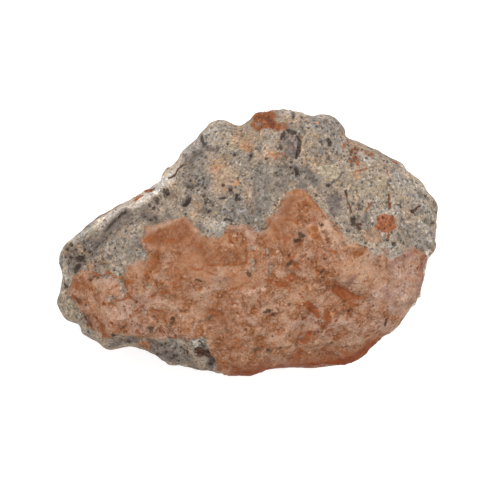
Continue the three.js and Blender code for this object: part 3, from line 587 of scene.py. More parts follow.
MARKS = {
    "ash": [
        (7.5, 2.6, 262, 182, 264, 196, 263, 201), (2.5, 1.5, 209, 181),
    ],
    "purple": [
        (7.2, 1.2, 288, 141, 290, 149), (6.4, 0.5, 332, 201, 334, 206), (3.4, 0.5, 339, 199),
        (3.2, 0.6, 333, 213), (1.8, 0.5, 336, 193), (4, 1.8, 309, 173, 314, 181), (2.8, 1, 421, 211),
        (2.4, 1, 342, 184), (2.5, 1.5, 303, 186), (2.2, 1, 366, 213, 364, 221),
    ],
    "straw": [
        (6.3, 2, 326, 170, 334, 175), (1.6, 1.2, 256, 113, 266, 111, 276, 110),
    ],
    "pinkish": [
        (6.2, 1, 367, 236, 374, 236),
    ],
    "apricot": [
        (4, 1.4, 244, 147, 249, 148), (3.2, 2, 217, 168), (2, 1.2, 196, 204), (2.4, 1.4, 236, 183),
        (1.4, 1, 225, 190), (3, 1.6, 356, 176), (1.2, 1, 285, 148), (1.5, 1.8, 270, 155, 276, 157),
        (1.3, 1, 317, 124), (1.4, 1, 291, 148), (1.3, 1, 290, 136), (1.2, 1, 121, 222),
    ],
    "white": [
        (1.1, 1, 257, 127, 262, 127), (1, 0.8, 266, 114, 262, 113), (0.9, 0.5, 371, 217, 371, 226),
        (0.9, 0.5, 381, 234, 381, 238), (1.2, 1, 364, 158, 367, 160), (1.2, 0.8, 129, 213),
        (1.5, 1, 112, 221),
    ],
    "mist": [
        (3.4, 1.8, 196, 341, 200, 339),
    ],
    "slate": [
        (3.5, 1.6, 80, 262, 76, 270), (3, 1.8, 92, 250, 99, 244), (3.2, 2, 107, 231, 114, 221, 127, 212),
        (1.5, 1, 128, 217), (1.2, 0.9, 84, 258, 95, 256, 104, 252), (1, 0.6, 103, 260, 113, 256),
        (1, 0.6, 104, 264, 109, 265), (1.7, 0.8, 137, 238), (1.2, 0.6, 127, 258), (1.2, 0.7, 120, 240),
        (1.2, 0.7, 133, 247), (2.6, 1.2, 156, 199, 158, 203), (3, 1.8, 144, 214, 151, 218, 156, 217),
        (1.8, 1.2, 147, 209), (1.2, 0.7, 168, 209, 167, 212), (1.4, 0.8, 169, 216, 172, 219),
        (1.8, 0.8, 202, 136, 203, 144, 208, 149, 213, 149), (2.3, 1.1, 201, 152),
        (3, 1.8, 195, 154, 191, 162), (2, 1.5, 186, 155, 186, 163), (2.8, 1.4, 187, 185, 193, 186),
        (3.1, 0.7, 184, 204, 189, 198), (1.8, 0.8, 251, 153, 251, 158), (1.6, 0.9, 248, 162),
        (1.4, 0.8, 260, 148, 259, 152), (1.4, 0.8, 218, 148, 216, 152), (2.2, 0.8, 230, 188, 231, 193),
        (2.4, 1, 236, 196, 238, 201), (1.3, 0.7, 205, 194), (1.4, 0.8, 198, 211), (2, 0.7, 210, 211),
        (1.6, 1.1, 234, 211, 235, 217), (1.7, 1, 245, 219, 248, 222), (1.2, 0.8, 197, 184),
        (1.2, 0.8, 216, 216), (2, 1.4, 200, 226, 203, 230), (1.4, 0.8, 293, 114, 293, 119),
        (1.5, 0.7, 302, 118), (1.5, 1, 301, 127, 304, 133), (2, 1.2, 326, 121), (1.3, 0.8, 322, 143),
        (1.2, 0.8, 289, 156, 294, 158), (1.5, 0.9, 280, 146, 282, 149), (1.8, 1, 285, 141, 291, 143),
        (1.9, 0.8, 295, 167, 297, 174), (2.6, 1.4, 306, 168, 308, 171), (2.3, 1.2, 285, 178, 283, 186),
        (1.5, 0.9, 277, 184, 279, 187), (1.6, 0.7, 326, 186, 330, 186),
        (1, 0.6, 341, 173, 339, 178, 336, 182), (1.5, 0.7, 316, 196), (1.5, 0.8, 352, 204),
        (1.4, 0.8, 369, 195), (1.4, 0.7, 398, 235, 398, 240), (1.5, 0.7, 387, 240), (1.4, 0.7, 364, 243),
        (1.6, 0.8, 409, 218), (2.5, 1.2, 420, 193, 423, 198), (1.2, 0.7, 428, 199), (1.2, 0.7, 412, 196),
        (1.4, 0.9, 435, 204), (2, 1.4, 426, 244, 431, 249), (1.5, 1, 394, 169, 391, 172),
        (1.3, 0.8, 417, 230), (1.2, 0.7, 410, 225), (2, 1.2, 59, 263, 62, 268), (1.6, 1, 68, 297),
        (2, 1.4, 112, 345, 121, 344), (2.2, 1, 126, 341, 131, 340, 136, 338),
        (1.2, 0.8, 157, 345, 161, 344), (1.2, 0.7, 165, 343, 172, 343), (2.6, 1.2, 172, 352, 177, 356),
        (1.8, 1, 164, 353, 168, 358), (4.3, 0.7, 210, 364, 213, 358), (1.4, 0.8, 201, 341),
        (1, 0.6, 387, 181, 386, 190), (1.1, 1, 254, 182, 254, 196, 257, 206, 262, 211, 268, 209),
    ],
    "rust": [
        (5, 1.2, 256, 118, 262, 117, 271, 117), (4.5, 1.2, 262, 122, 272, 124),
        (3, 1.1, 262, 127, 280, 127), (2.4, 1.6, 252, 124, 259, 129), (2.4, 1.6, 277, 129, 286, 127),
        (1.4, 1.4, 345, 145, 343, 148), (1.2, 1.4, 348, 140, 355, 145, 358, 147),
        (1.7, 1.4, 355, 158, 351, 161), (1.5, 1.2, 358, 161, 357, 165), (1.2, 1.2, 365, 153),
        (1.4, 1.2, 371, 153, 371, 156), (1.2, 2.4, 352, 150, 362, 149, 368, 150), (1, 0.7, 410, 175),
        (0.8, 0.6, 272, 155, 281, 154, 287, 158), (0.9, 0.5, 365, 211, 371, 203),
        (0.8, 0.45, 388, 232, 388, 238), (1, 0.6, 380, 241), (1, 0.6, 330, 221, 338, 229),
        (1, 0.6, 133, 200, 143, 195), (1.3, 0.7, 146, 192, 153, 187), (1.3, 0.7, 79, 230, 86, 225),
        (1, 0.6, 393, 160, 397, 162), (0.7, 0.5, 386, 168, 387, 176), (0.7, 0.7, 357, 172, 366, 169),
    ],
    "brick": [
        (4.2, 0.6, 379, 220, 391, 220), (4.2, 0.6, 378, 227, 384, 229, 391, 226),
        (4, 0.6, 383, 223, 391, 222),
    ],
    "scar": [
        (3, 1.2, 268, 120, 271, 124, 273, 128), (1.2, 1, 183, 336), (0.9, 0.8, 177, 334),
        (1.2, 0.8, 259, 118, 264, 116), (1, 0.8, 257, 123),
        (0.9, 0.4, 345, 192, 346, 199, 349, 206, 351, 213), (0.9, 0.4, 388, 193, 388, 201, 389, 208),
        (2, 0.9, 351, 152), (1.2, 0.8, 348, 141), (1.3, 0.8, 355, 154), (1.2, 0.8, 355, 148),
        (1.1, 0.8, 361, 150), (1.1, 0.8, 355, 159), (1.5, 0.8, 367, 149, 370, 151), (1, 0.8, 357, 165),
        (1.3, 0.8, 380, 224), (1.3, 0.8, 386, 219), (1.3, 0.8, 389, 225), (1.3, 0.8, 384, 229),
        (1.3, 0.8, 377, 219), (1.2, 0.8, 392, 219), (1.2, 0.8, 384, 222), (1.1, 0.8, 378, 229),
        (1.1, 0.8, 381, 218),
    ],
    "brown": [
        (2, 1, 164, 190, 167, 193), (1.2, 0.7, 348, 145), (1.1, 0.7, 355, 154), (1.1, 0.7, 350, 156),
        (1.3, 0.8, 362, 150), (1, 0.7, 358, 150), (1.2, 0.7, 368, 152), (1.2, 0.7, 369, 156),
        (1.3, 0.7, 365, 158), (1, 0.7, 352, 149), (2.2, 1.4, 356, 224, 358, 228),
        (4.3, 1, 200, 352, 207, 354), (2, 1, 196, 350), (1.4, 0.6, 228, 144), (1.2, 0.6, 204, 179),
        (1, 0.5, 413, 211, 420, 206), (1.5, 0.9, 187, 353), (1, 0.6, 233, 207),
        (1.1, 0.3, 169, 178, 175, 175, 178, 170, 183, 166),
    ],
    "ink": [
        (3, 1, 79, 259, 82, 258), (2, 1, 78, 265, 75, 272), (1.3, 0.6, 68, 250), (1.2, 0.6, 71, 257),
        (1.3, 0.6, 76, 250), (1.1, 0.6, 69, 263), (1.2, 0.6, 73, 246), (1.1, 0.6, 84, 262),
        (1, 0.6, 90, 252), (1, 0.6, 97, 246), (1.2, 0.6, 66, 257),
        (1.5, 1.7, 106, 230, 109, 226, 116, 219, 126, 212), (1.2, 0.8, 111, 234),
        (1.7, 0.7, 158, 199, 158, 204), (2, 0.5, 155, 209.3), (1, 0.4, 151, 206.5), (1.4, 0.6, 150, 206),
        (1.4, 0.7, 150, 219), (1.2, 0.7, 144, 216), (1.4, 0.7, 156, 218), (1.6, 0.7, 166, 192),
        (1.4, 0.6, 202, 138, 203, 144), (1.7, 0.6, 190, 181), (1.5, 0.7, 188, 188, 192, 188),
        (2.2, 0.7, 185, 204, 189, 199), (1.4, 0.5, 234, 155), (1.5, 0.5, 223, 186),
        (1.7, 0.6, 236, 196, 236, 200), (1.3, 0.6, 240, 200), (1.6, 0.6, 230, 190), (1.4, 0.6, 205, 188),
        (1.1, 0.5, 220, 199, 225, 198), (1.2, 0.5, 225, 220, 229, 220, 232, 221), (1.5, 0.6, 209, 211),
        (1.5, 0.6, 251, 156), (1.3, 0.6, 211, 202), (1.3, 0.6, 213, 206), (1.6, 0.6, 282, 138, 284, 133),
        (2, 0.7, 288, 131, 294, 133), (1.4, 0.5, 297, 137, 299, 142), (1.8, 0.6, 299, 146, 298, 152),
        (1.2, 0.5, 297, 155, 296, 158), (1.5, 0.7, 296, 169, 297, 174), (1.3, 0.6, 279, 146, 281, 150),
        (2, 0.6, 328, 142, 329, 145), (1.4, 0.6, 302, 118), (1.3, 0.6, 293, 117),
        (1.4, 0.6, 327, 186, 329, 186), (2.7, 0.9, 353, 219, 353, 224), (1.8, 0.5, 393, 244),
        (1.4, 0.6, 387, 240), (1.3, 0.5, 364, 243), (1.5, 0.6, 432, 223), (1.5, 0.6, 412, 212),
        (1.4, 0.6, 425, 196), (1, 0.5, 65, 283, 66, 287), (1.4, 0.6, 115, 333),
        (2.3, 1.7, 210, 364, 213, 358), (1, 0.6, 162, 345), (1, 0.6, 158, 353), (1.1, 0.6, 167, 351),
        (1, 0.6, 177, 355), (1.1, 0.6, 181, 348), (0.9, 0.6, 175, 348), (1, 0.6, 172, 358),
        (0.9, 0.6, 179, 359), (1, 0.6, 184, 351), (0.9, 0.5, 199, 341), (0.9, 0.5, 202, 343),
        (0.8, 0.5, 195, 339), (1.6, 0.7, 129, 341), (1.6, 0.7, 174, 355), (1.3, 0.6, 166, 344),
        (1.3, 0.6, 184, 353), (1.2, 0.5, 345, 192, 346, 195), (1.2, 0.6, 204, 196), (1.2, 0.6, 250, 160),
        (1.2, 0.6, 316, 196), (1.2, 0.6, 352, 204), (1.1, 0.5, 409, 218),
    ],
    "toffee": [
        (0.9, 0.5, 283, 222, 290, 221, 298, 225), (0.9, 0.5, 271, 222, 266, 228),
        (0.9, 0.5, 262, 240, 267, 236), (1.1, 0.6, 309, 207), (0.8, 0.5, 306, 195, 316, 206, 326, 220),
        (3.2, 1.8, 159, 254, 158, 261, 155, 268), (3, 1.5, 149, 240, 156, 239),
        (1.8, 1.1, 167, 242, 177, 241), (2, 1.2, 150, 272, 148, 276),
        (2.3, 1, 122, 278, 127, 281, 134, 282), (1.5, 1, 169, 242, 173, 243), (1.8, 1, 197, 245, 201, 248),
        (1.5, 0.9, 191, 234), (1.5, 0.9, 160, 231), (1.5, 0.7, 246, 248, 247, 262),
        (1.2, 0.7, 208, 266, 228, 265, 245, 264), (1.5, 1, 163, 292, 170, 291),
        (1.4, 0.9, 176, 288, 186, 285), (1.8, 0.9, 202, 287), (1.8, 1.1, 80, 283, 79, 287),
        (2, 1.1, 88, 325, 94, 330), (1.8, 1.1, 103, 331, 107, 333), (1.4, 1.8, 213, 311, 218, 311),
        (2.2, 1.1, 311, 262), (2.2, 1.3, 325, 250, 333, 252), (2.4, 1.3, 313, 229, 315, 231),
        (2.4, 1.3, 314, 237, 319, 239), (1.5, 0.8, 377, 329), (1.3, 0.7, 365, 341),
        (1.2, 0.8, 386, 309, 385, 314), (2.6, 1.4, 353, 254, 360, 254),
    ],
    "amber": [
        (1.8, 0.8, 267, 279, 274, 282, 286, 284), (2.4, 1.3, 296, 265, 292, 272, 290, 278),
        (5.2, 0.7, 336, 289, 341, 292), (4.4, 0.7, 345, 294), (2.6, 0.6, 350, 294, 355, 295),
        (1.9, 1, 327, 281), (1.6, 0.8, 300, 294, 303, 299), (4, 0.8, 307, 303, 311, 307),
        (2.6, 0.8, 314, 311, 316, 314), (2.6, 0.9, 325, 310, 326, 318, 322, 324),
        (3, 0.9, 308, 331, 303, 337), (2.4, 1, 329, 328),
    ],
    "deep": [
        (1, 0.5, 118, 300, 125, 299, 131, 296, 136, 300, 141, 303), (1.1, 0.6, 154, 296, 158, 293),
        (1, 0.4, 95, 272, 101, 276, 105, 275, 110, 272, 114, 275, 117, 278),
        (1, 0.6, 153, 309, 160, 310, 168, 312), (1, 0.6, 207, 271, 217, 275),
        (1, 0.6, 190, 266, 196, 270, 203, 269, 205, 265), (2.5, 1.3, 78, 298, 83, 301),
        (1.2, 0.7, 293, 258, 298, 252), (1.7, 0.8, 344, 299, 349, 302), (1.2, 0.7, 347, 308, 347, 312),
        (1.1, 0.5, 345, 270), (1.1, 0.5, 352, 275), (1.1, 0.5, 357, 273), (1.1, 0.5, 362, 280),
        (2.4, 1.4, 339, 349, 347, 352), (3.2, 0.8, 299, 349, 298, 354, 295, 359),
        (1.4, 0.8, 229, 290, 237, 288), (1.1, 0.9, 231, 338), (1.1, 0.9, 235, 336, 240, 338),
        (1.2, 0.9, 237, 342), (1, 0.9, 232, 345), (1.1, 0.9, 241, 345), (1, 0.9, 236, 349),
        (1.2, 0.7, 170, 336), (1, 0.6, 272, 283, 280, 286, 288, 285), (1.2, 0.7, 175, 284, 182, 280),
        (1, 0.6, 230, 236, 231, 243), (1.8, 1.3, 286, 237, 285, 246), (1.2, 0.7, 402, 257, 408, 254),
    ],
    "window": [
        (2.2, 0.6, 251, 250, 254, 249), (1.8, 0.6, 252, 261, 253, 270), (1.4, 0.6, 267, 250, 268, 258),
        (1.2, 0.7, 271, 262, 270, 272, 267, 278), (2, 1.2, 109, 297, 116, 298),
        (1.5, 0.9, 124, 284, 127, 290), (2, 1, 342, 243), (1.6, 1.2, 144, 308, 147, 314),
        (1.4, 1.2, 150, 286),
    ],
    "veil": [
        (2.2, 2.4, 325, 228, 331, 238, 339, 247), (1, 1.8, 163, 300, 172, 304, 180, 311, 184, 318),
        # Painted highlight: a pale line on the lit rim of the amber pool
        (1, 0.5, 345, 282, 347, 287, 351, 290, 355, 293),
        (1.1, 0.6, 309, 227, 313, 224, 317, 224, 319, 227, 320, 232, 323, 237, 325, 243, 329, 246, 334, 250),
        (0.8, 1.4, 246, 292, 256, 289, 264, 289), (0.9, 1.4, 395, 299, 402, 296, 411, 293),
    ],
    "mauve": [
        (2, 2.4, 386, 268, 396, 260, 408, 253), (2, 2.4, 421, 262, 421, 276, 415, 288),
        (2.5, 2.6, 382, 288, 390, 298), (2.2, 2.4, 348, 282, 352, 276),
    ],
    "chalk": [
        (1.8, 1.4, 195, 341, 199, 338),
        (1.9, 1, 428, 252, 425, 266, 422, 276, 421, 288, 414, 301, 406, 313),
    ],
    # Along the down-facing bottom rim: partly the crust's own red-brown, partly painted shade
    "rust_edge": [
        (4, 1.8, 240, 373, 262, 371, 290, 366, 330, 363, 350, 357), (1.5, 2, 352, 360, 368, 350),
    ],
    "smudge": [
        (1.5, 1.6, 92, 279, 96, 276), (1.2, 1.6, 78, 299), (1.4, 1.6, 86, 314, 90, 319, 92, 324),
        (1, 1.2, 114, 301), (1.2, 1.4, 139, 301), (1.1, 1.2, 143, 326), (1.2, 1.2, 174, 317, 173, 324),
        (1.6, 1.6, 183, 335), (1.2, 1.2, 170, 336), (2, 1.6, 254, 348, 259, 347),
        (2.2, 1.6, 268, 349, 271, 347), (1.4, 1.4, 251, 337), (1.6, 1.6, 208, 318, 212, 316),
        (1.3, 1.2, 202, 320), (1.2, 1.2, 226, 328, 230, 330), (1.3, 1.2, 230, 362), (1.2, 1.2, 298, 262),
        (1.4, 1.4, 341, 243, 344, 245), (1, 1.2, 268, 303), (1.2, 1.2, 244, 296),
        (2, 2, 286, 268, 294, 272),
    ],
    "grit": [
        (1.9, 1, 300, 235, 303, 237), (1.8, 1, 295, 242, 299, 241), (1.7, 1, 288, 265, 291, 262),
        (1.2, 0.7, 289, 256), (1.5, 0.7, 321, 226), (1.7, 0.9, 322, 271), (1.1, 0.7, 320, 281),
        (1.8, 0.9, 248, 272, 250, 275), (0.9, 0.8, 197, 279, 203, 281), (1.4, 1, 265, 311, 269, 309),
        (1.7, 0.8, 272, 313), (1.3, 0.8, 289, 304), (1.1, 0.7, 280, 344), (1.5, 1.4, 255, 348),
        (1.4, 1.4, 268, 348), (1.2, 1.6, 210, 318), (1.2, 1.4, 174, 317, 173, 323), (1.1, 1.2, 138, 301),
        (1.1, 1, 86, 313, 88, 317), (1.2, 1, 91, 321, 93, 325), (0.9, 1, 78, 298, 81, 302),
        (0.9, 0.8, 113, 299), (1, 0.9, 97, 276), (1, 0.7, 272, 333), (1, 0.7, 88, 304),
        (1.5, 1, 150, 327, 153, 326), (0.9, 0.8, 123, 328, 127, 326), (1, 0.7, 149, 314),
        (1, 0.7, 133, 307), (0.9, 0.4, 383, 323, 386, 318), (1.1, 0.6, 402, 256), (1.1, 0.6, 415, 248),
        (1.1, 0.8, 330, 340), (1, 0.7, 347, 310), (1, 0.7, 318, 352), (1, 0.7, 300, 307),
        (1, 0.8, 260, 348), (1.8, 1.2, 93, 280), (1, 0.8, 171, 337),
    ],
}
WASH_FADE = (-0.8, -3.0)  # heights off the rim over which the washes give out
WASH_SLOPE = (-0.5, 0.35)  # and how far the skin faces up
MARK_LIMIT = 6.0  # softnesses from its edge at which a mark's depth is cut off
MARK_SLOPE = (0.04, 0.2)  # how far the skin faces up between which marks begin to show
RAGGED = [(0.15, 0.9, 6.1), (0.08, 0.45, 3.3)]
RAGGED_IN_FULL = 0.6  # half-width from which a mark's edge is as ragged as it gets


def washed(ground, washes):
    """Broad tones laid over a ground colour, each faded over its softness, and how smooth they leave it."""
    colour, wax = np.tile(COLOURS[ground], (len(settled), 1)), np.zeros(len(settled))
    for kind, strength, *drawn in washes:
        half, soft, line = stroke(*drawn)
        share = strength * smoothstep(-soft, soft, half - distance_to_line(settled, line)) * in_sight
        colour += share[:, None] * (np.array(COLOURS[kind]) - colour)
        wax += share * (SMOOTH.get(kind, 0.0) - wax)
    return colour, wax


drift = noise(ball_points, 3.0, 7.1)
in_sight = smoothstep(*WASH_SLOPE, normals[:, 2] + 0.35 * drift)
in_sight *= 1.0 - smoothstep(*WASH_FADE, above_rim + 1.2 * drift)
rock_colour, _ = washed("tan", ROCK_WASHES)
crust_colour, wax = washed("salmon", CRUST_WASHES)

ragged = layered(ball_points, *RAGGED)
upward = smoothstep(*MARK_SLOPE, normals[:, 2])
mark = np.full(len(plan), -MARK_LIMIT)
mark_colour = np.tile(COLOURS["slate"], (len(plan), 1))
sink, gloss = np.zeros(len(plan)), np.zeros(len(plan))
for kind, strokes in MARKS.items():
    for drawn_half, *drawn in strokes:
        half, soft, line = stroke(drawn_half + WIDER.get(kind, 0), *drawn)
        far = half + MARK_LIMIT * soft
        near = np.all((settled > line.min(axis=0) - far) & (settled < line.max(axis=0) + far), axis=1)
        near = np.flatnonzero(near & (under < 0.9))
        depth = half - distance_to_line(settled[near], line) + ragged[near] * min(1.0, half / RAGGED_IN_FULL)
        field = np.clip(depth / soft - (1.0 - upward[near]) * MARK_LIMIT, -MARK_LIMIT, MARK_LIMIT)
        wins = field > np.minimum(mark[near], 0.0)
        mark[near] = np.maximum(mark[near], field)
        mark_colour[near[wins]] = COLOURS[kind]
        inside = smoothstep(-0.8, 0.8, field)
        sink[near] += inside * (SINK.get(kind, 0.0) - sink[near])
        gloss[near] += inside * (GLOSS.get(kind, 0.0) - gloss[near])

# ---- Its fine relief ----
# The bare rock is grainy and pitted where crystals fell out; the crust is waxy, with low swirls, and ends
# in a thin ragged step.

CRUST_STEP = 0.32
PITS = 420
PIT_RADIUS = (0.22, 0.7)
PIT_DEPTH = (0.25, 0.5)  # in radii
ROCK_GRAIN = [(0.26, 2.1, 1.3), (0.16, 1.0, 4.4)]
CRUST_LUMP, WAXY_LUMP = 0.30, 0.12
RIM_FINE = 0.35  # share of the fine relief that is left on the rim
crusted = smoothstep(-CRUST_STEP / 2, CRUST_STEP / 2, crust)
rock_fine = layered(ball_points, *ROCK_GRAIN)
swirl = 1.0 - 2.0 * np.abs(noise(ball_points + 0.8 * noise(ball_points, 2.6, 8.2)[:, None], 2.3, 7.7))
curdled = ball_points + 0.45 * np.column_stack([noise(ball_points, 1.6, k) for k in (2.2, 8.9, 5.5)])
lumps = np.abs(noise(curdled, 1.7, 6.6)) + 0.6 * np.abs(noise(curdled, 0.95, 3.1)) - 0.42
crust_fine = 0.16 * swirl + (CRUST_LUMP + (WAXY_LUMP - CRUST_LUMP) * wax) * lumps
crust_fine += 0.06 * noise(ball_points, 0.6, 5.5)
fine = rock_fine + crusted * (crust_fine - rock_fine)
chance = np.random.default_rng(1969)
order = np.argsort(ball_points[:, 0])
sorted_x = ball_points[order, 0]
for seed in chance.choice(len(ball_points), PITS, replace=False):
    radius = chance.uniform(*PIT_RADIUS)
    deep = radius * chance.uniform(*PIT_DEPTH) * (1.0 - 0.55 * crusted[seed])
    x = ball_points[seed, 0]
    first, last = np.searchsorted(sorted_x, [x - 2 * radius, x + 2 * radius])
    near = order[first:last]
    gap = np.linalg.norm(ball_points[near] - ball_points[seed], axis=1)
    fine[near] -= deep * np.exp(-((gap / radius) ** 2))
fine -= sink
crust_height = CRUST_THICKNESS * crusted * np.where(under > 0.5, 1.0, on_face)
relief = main_relief + crust_height + fine * (RIM_FINE + (1.0 - RIM_FINE) * rim_share)
points = ball_points + normals * relief[:, None]
points[:, 2] = np.maximum(points[:, 2], 0.0)  # the flat that it rests on

# ---- Its mesh ----
# One closed skin of the points and cells of both sheets. The crust's reach, the marks and the tones go
# with it as attributes, which its finish reads.

MM = 0.001
mesh = bpy.data.meshes.new("meteorite_stone")
mesh.vertices.add(len(points))
mesh.vertices.foreach_set("co", (points * MM).astype(np.float32).ravel())
corners = np.concatenate([c.ravel() for c in cells])
counts = np.concatenate([np.full(len(c), c.shape[1]) for c in cells])
mesh.loops.add(len(corners))
mesh.loops.foreach_set("vertex_index", corners.astype(np.int32))
mesh.polygons.add(len(counts))
mesh.polygons.foreach_set("loop_start", (np.cumsum(counts) - counts).astype(np.int32))
mesh.polygons.foreach_set("use_smooth", np.ones(len(counts), bool))
mesh.update(calc_edges=True)
mesh.validate()
numbers = {"crust": crust, "wax": wax, "mark": mark, "gloss": gloss, "hollow": -fine}
for name, values in numbers.items():
    mesh.attributes.new(name, "FLOAT", "POINT").data.foreach_set("value", values.astype(np.float32))
colours = {"rock_colour": rock_colour, "crust_colour": crust_colour, "mark_colour": mark_colour}
for name, values in colours.items():
    rgba = np.column_stack([values / LIGHT, np.ones(len(values))]).astype(np.float32)
    mesh.attributes.new(name, "FLOAT_COLOR", "POINT").data.foreach_set("color", rgba.ravel())
stone = bpy.data.objects.new("meteorite_stone", mesh)
bpy.context.collection.objects.link(stone)

# ---- Its finish ----
# Granular breccia: a pale ground of broken plagioclase full of dark, white and rusty chips of every size,
# under a waxy orange crust with darker and paler clouds, pits and glossy amber pools.

finish = bpy.data.materials.new("breccia_with_crust")
finish.use_nodes = True
tree = finish.node_tree
tree.nodes.clear()


class Value:
    """A number, colour or vector that varies over the stone: one output of one shader node."""

    def __init__(self, socket):
        self.socket = socket

    def beside(self, name):
        """Another output of the same node."""
        return Value(self.socket.node.outputs[name])

    def __add__(self, other):
        return maths("ADD", self, other)

    def __radd__(self, other):
        return maths("ADD", other, self)

    def __sub__(self, other):
        return maths("SUBTRACT", self, other)

    def __rsub__(self, other):
        return maths("SUBTRACT", other, self)

    def __mul__(self, other):
        return maths("MULTIPLY", self, other)

    def __rmul__(self, other):
        return maths("MULTIPLY", other, self)


def make(kind, settings, sockets, output=0):
    """Adds a shader node: its settings are set first, then its sockets get their values or links. The
    colours of a ramp's stops each go on unchanged to the next."""
    node = tree.nodes.new(kind)
    for name, value in settings.items():
        if name == "stops":
            ramp = node.color_ramp
            ramp.interpolation = "CONSTANT"
            while len(ramp.elements) < len(value):
                ramp.elements.new(1.0)
            for element, (place, colour) in zip(ramp.elements, value):
                element.position, element.color = place, (*colour, 1.0)
        else:
            setattr(node, name, value)
    for name, value in sockets.items():
        if isinstance(value, Value):
            tree.links.new(value.socket, node.inputs[name])
        else:
            node.inputs[name].default_value = value
    return Value(node.outputs[output]) if node.outputs else None


def maths(operation, first, second):
    """Two numbers added, subtracted or multiplied."""
    return make("ShaderNodeMath", {"operation": operation}, {0: first, 1: second})


def toned(colour, factor):
    """A colour or a place multiplied by a factor."""
    return make("ShaderNodeVectorMath", {"operation": "SCALE"}, {0: colour, "Scale": factor}, "Vector")


def mixed(share, first, second, blend="MIX"):
    """Colours mixed by a share."""
    first, second = ((*c, 1.0) if isinstance(c, tuple) else c for c in (first, second))
    settings = {"data_type": "RGBA", "blend_type": blend}
    return make("ShaderNodeMix", settings, {0: share, 6: first, 7: second}, 2)


def tinted(colour, *tints):
    """A colour multiplied by tints one after another, each by its share."""
    for share, tint in tints:
        colour = mixed(share, colour, tint, "MULTIPLY")
    return colour


def lit(name):
    """A named colour as the stone's own, before the studio light."""
    return tuple(c / LIGHT for c in COLOURS[name])


def attribute(name, output="Fac"):
    """What the mesh carries under a name."""
    return make("ShaderNodeAttribute", {"attribute_name": name}, {}, output)


def rising(value, low, high):
    """0 below low, 1 above high, eased between."""
    sockets = {"Value": value, "From Min": low, "From Max": high}
    return make("ShaderNodeMapRange", {"interpolation_type": "SMOOTHSTEP"}, sockets, "Result")


here = toned(make("ShaderNodeTexCoord", {}, {}, "Object"), 1.0 / MM)


def clouds(size, detail, roughness, distortion, output):
    """Noise of a size in millimetres."""
    sockets = {"Vector": here, "Scale": 1.0 / size, "Detail": detail, "Roughness": roughness}
    return make("ShaderNodeTexNoise", {}, {**sockets, "Distortion": distortion}, output)


def swing(size, detail=3.0, roughness=0.6, distortion=0.0):
    """Clouds that swing about 0 and mostly stay within -1 and 1."""
    return (clouds(size, detail, roughness, distortion, 0) - 0.5) * 5.0


def bent(size, reach, detail):
    """The place, moved about by clouds of a size, up to a reach, so that edges drawn there turn ragged."""
    sockets = {0: clouds(size, detail, 0.6, 0.0, "Color"), 1: (2.0 * reach,) * 3, 2: here}
    return make("ShaderNodeVectorMath", {"operation": "MULTIPLY_ADD"}, sockets, "Vector")


def grains(size, place=here, feature="F1"):
    """Cells of a size in millimetres: the distance, in cells, from a cell's middle or its edge."""
    sockets = {"Vector": place, "Scale": 1.0 / size}
    return make("ShaderNodeTexVoronoi", {"feature": feature}, sockets, "Distance")


def cell_numbers(cell):
    """Three chance numbers of each cell."""
    red = make("ShaderNodeSeparateColor", {}, {0: cell.beside("Color")})
    return red, red.beside("Green"), red.beside("Blue")


def chips(size, share, widest, place):
    """Chance chips, at most one to a cell: how far inside a chip's edge, and two chance numbers."""
    distance = grains(size, place)
    luck, number, tone = cell_numbers(distance)
    return (luck - (1.0 - share)) * (widest / share) - distance, number, tone


hollow = attribute("hollow")
wide_bend, small_bend = bent(1.5, 1.3, 4.0), bent(0.5, 0.14, 2.0)
crystal, crumb = grains(0.36, small_bend), grains(0.21)
crystal_tone, crystal_hue, _ = cell_numbers(crystal)
crumb_tone, crumb_hue, _ = cell_numbers(crumb)
crystal_swing, crumb_swing = crystal_tone - 0.5, crumb_tone - 0.5
small, middling, broad = swing(0.75), swing(1.7), swing(3.4, 3.0, 0.55)

# The rock: patches and crystals of warmer and cooler grey, then salt, pepper and chips.
CHIP_STOPS = [
    (0.0, "ink"), (0.26, "slate"), (0.55, "ash"), (0.66, "white"), (0.76, "brown"), (0.86, "straw"),
    (0.94, "rust"),
]
rock = tinted(
    attribute("rock_colour", "Color"),
    (rising(broad, 0.0, 0.9) * 0.8, (1.12, 1.02, 0.90)),
    (rising(broad, 0.0, -0.9) * 0.8, (0.88, 0.90, 0.94)),
    (rising(crystal_hue, 0.55, 1.0), (1.10, 0.98, 0.84)),
    (rising(crystal_hue, 0.45, 0.0), (0.92, 1.0, 1.12)),
)
rock = toned(rock, 1.0 + crystal_swing * 0.36 + crumb_swing * 0.40 + small * 0.12 + middling * 0.08)
salt = rising(crystal_tone, 0.84, 0.9) * 0.5 + rising(crumb_hue, 0.84, 0.9) * 0.45
pepper = rising(crystal_hue + small * 0.05, 0.11, 0.05) * 0.72
fine_pepper = rising(crumb_hue + middling * 0.05, 0.13, 0.06) * 0.66
rock = tinted(
    rock, (salt, (1.38, 1.44, 1.54)), (pepper, (0.30, 0.28, 0.27)), (fine_pepper, (0.38, 0.34, 0.31))
)
stops = [(stop, lit(name)) for stop, name in CHIP_STOPS]
for size, share, widest, strength, place in (
    (3.1, 0.22, 0.36, 0.45, wide_bend),
    (1.5, 0.22, 0.36, 0.65, wide_bend),
    (0.75, 0.24, 0.42, 0.75, small_bend),
):
    inside, number, tone = chips(size, share, widest, place)
    chip = make("ShaderNodeValToRGB", {"stops": stops}, {0: number})
    chip = toned(chip, (0.65 + tone * 0.5) * (1.0 + crumb_swing * 0.5 + small * 0.15))
    rock = mixed(rising(inside + small * 0.05, -0.03, 0.09) * strength, rock, chip)
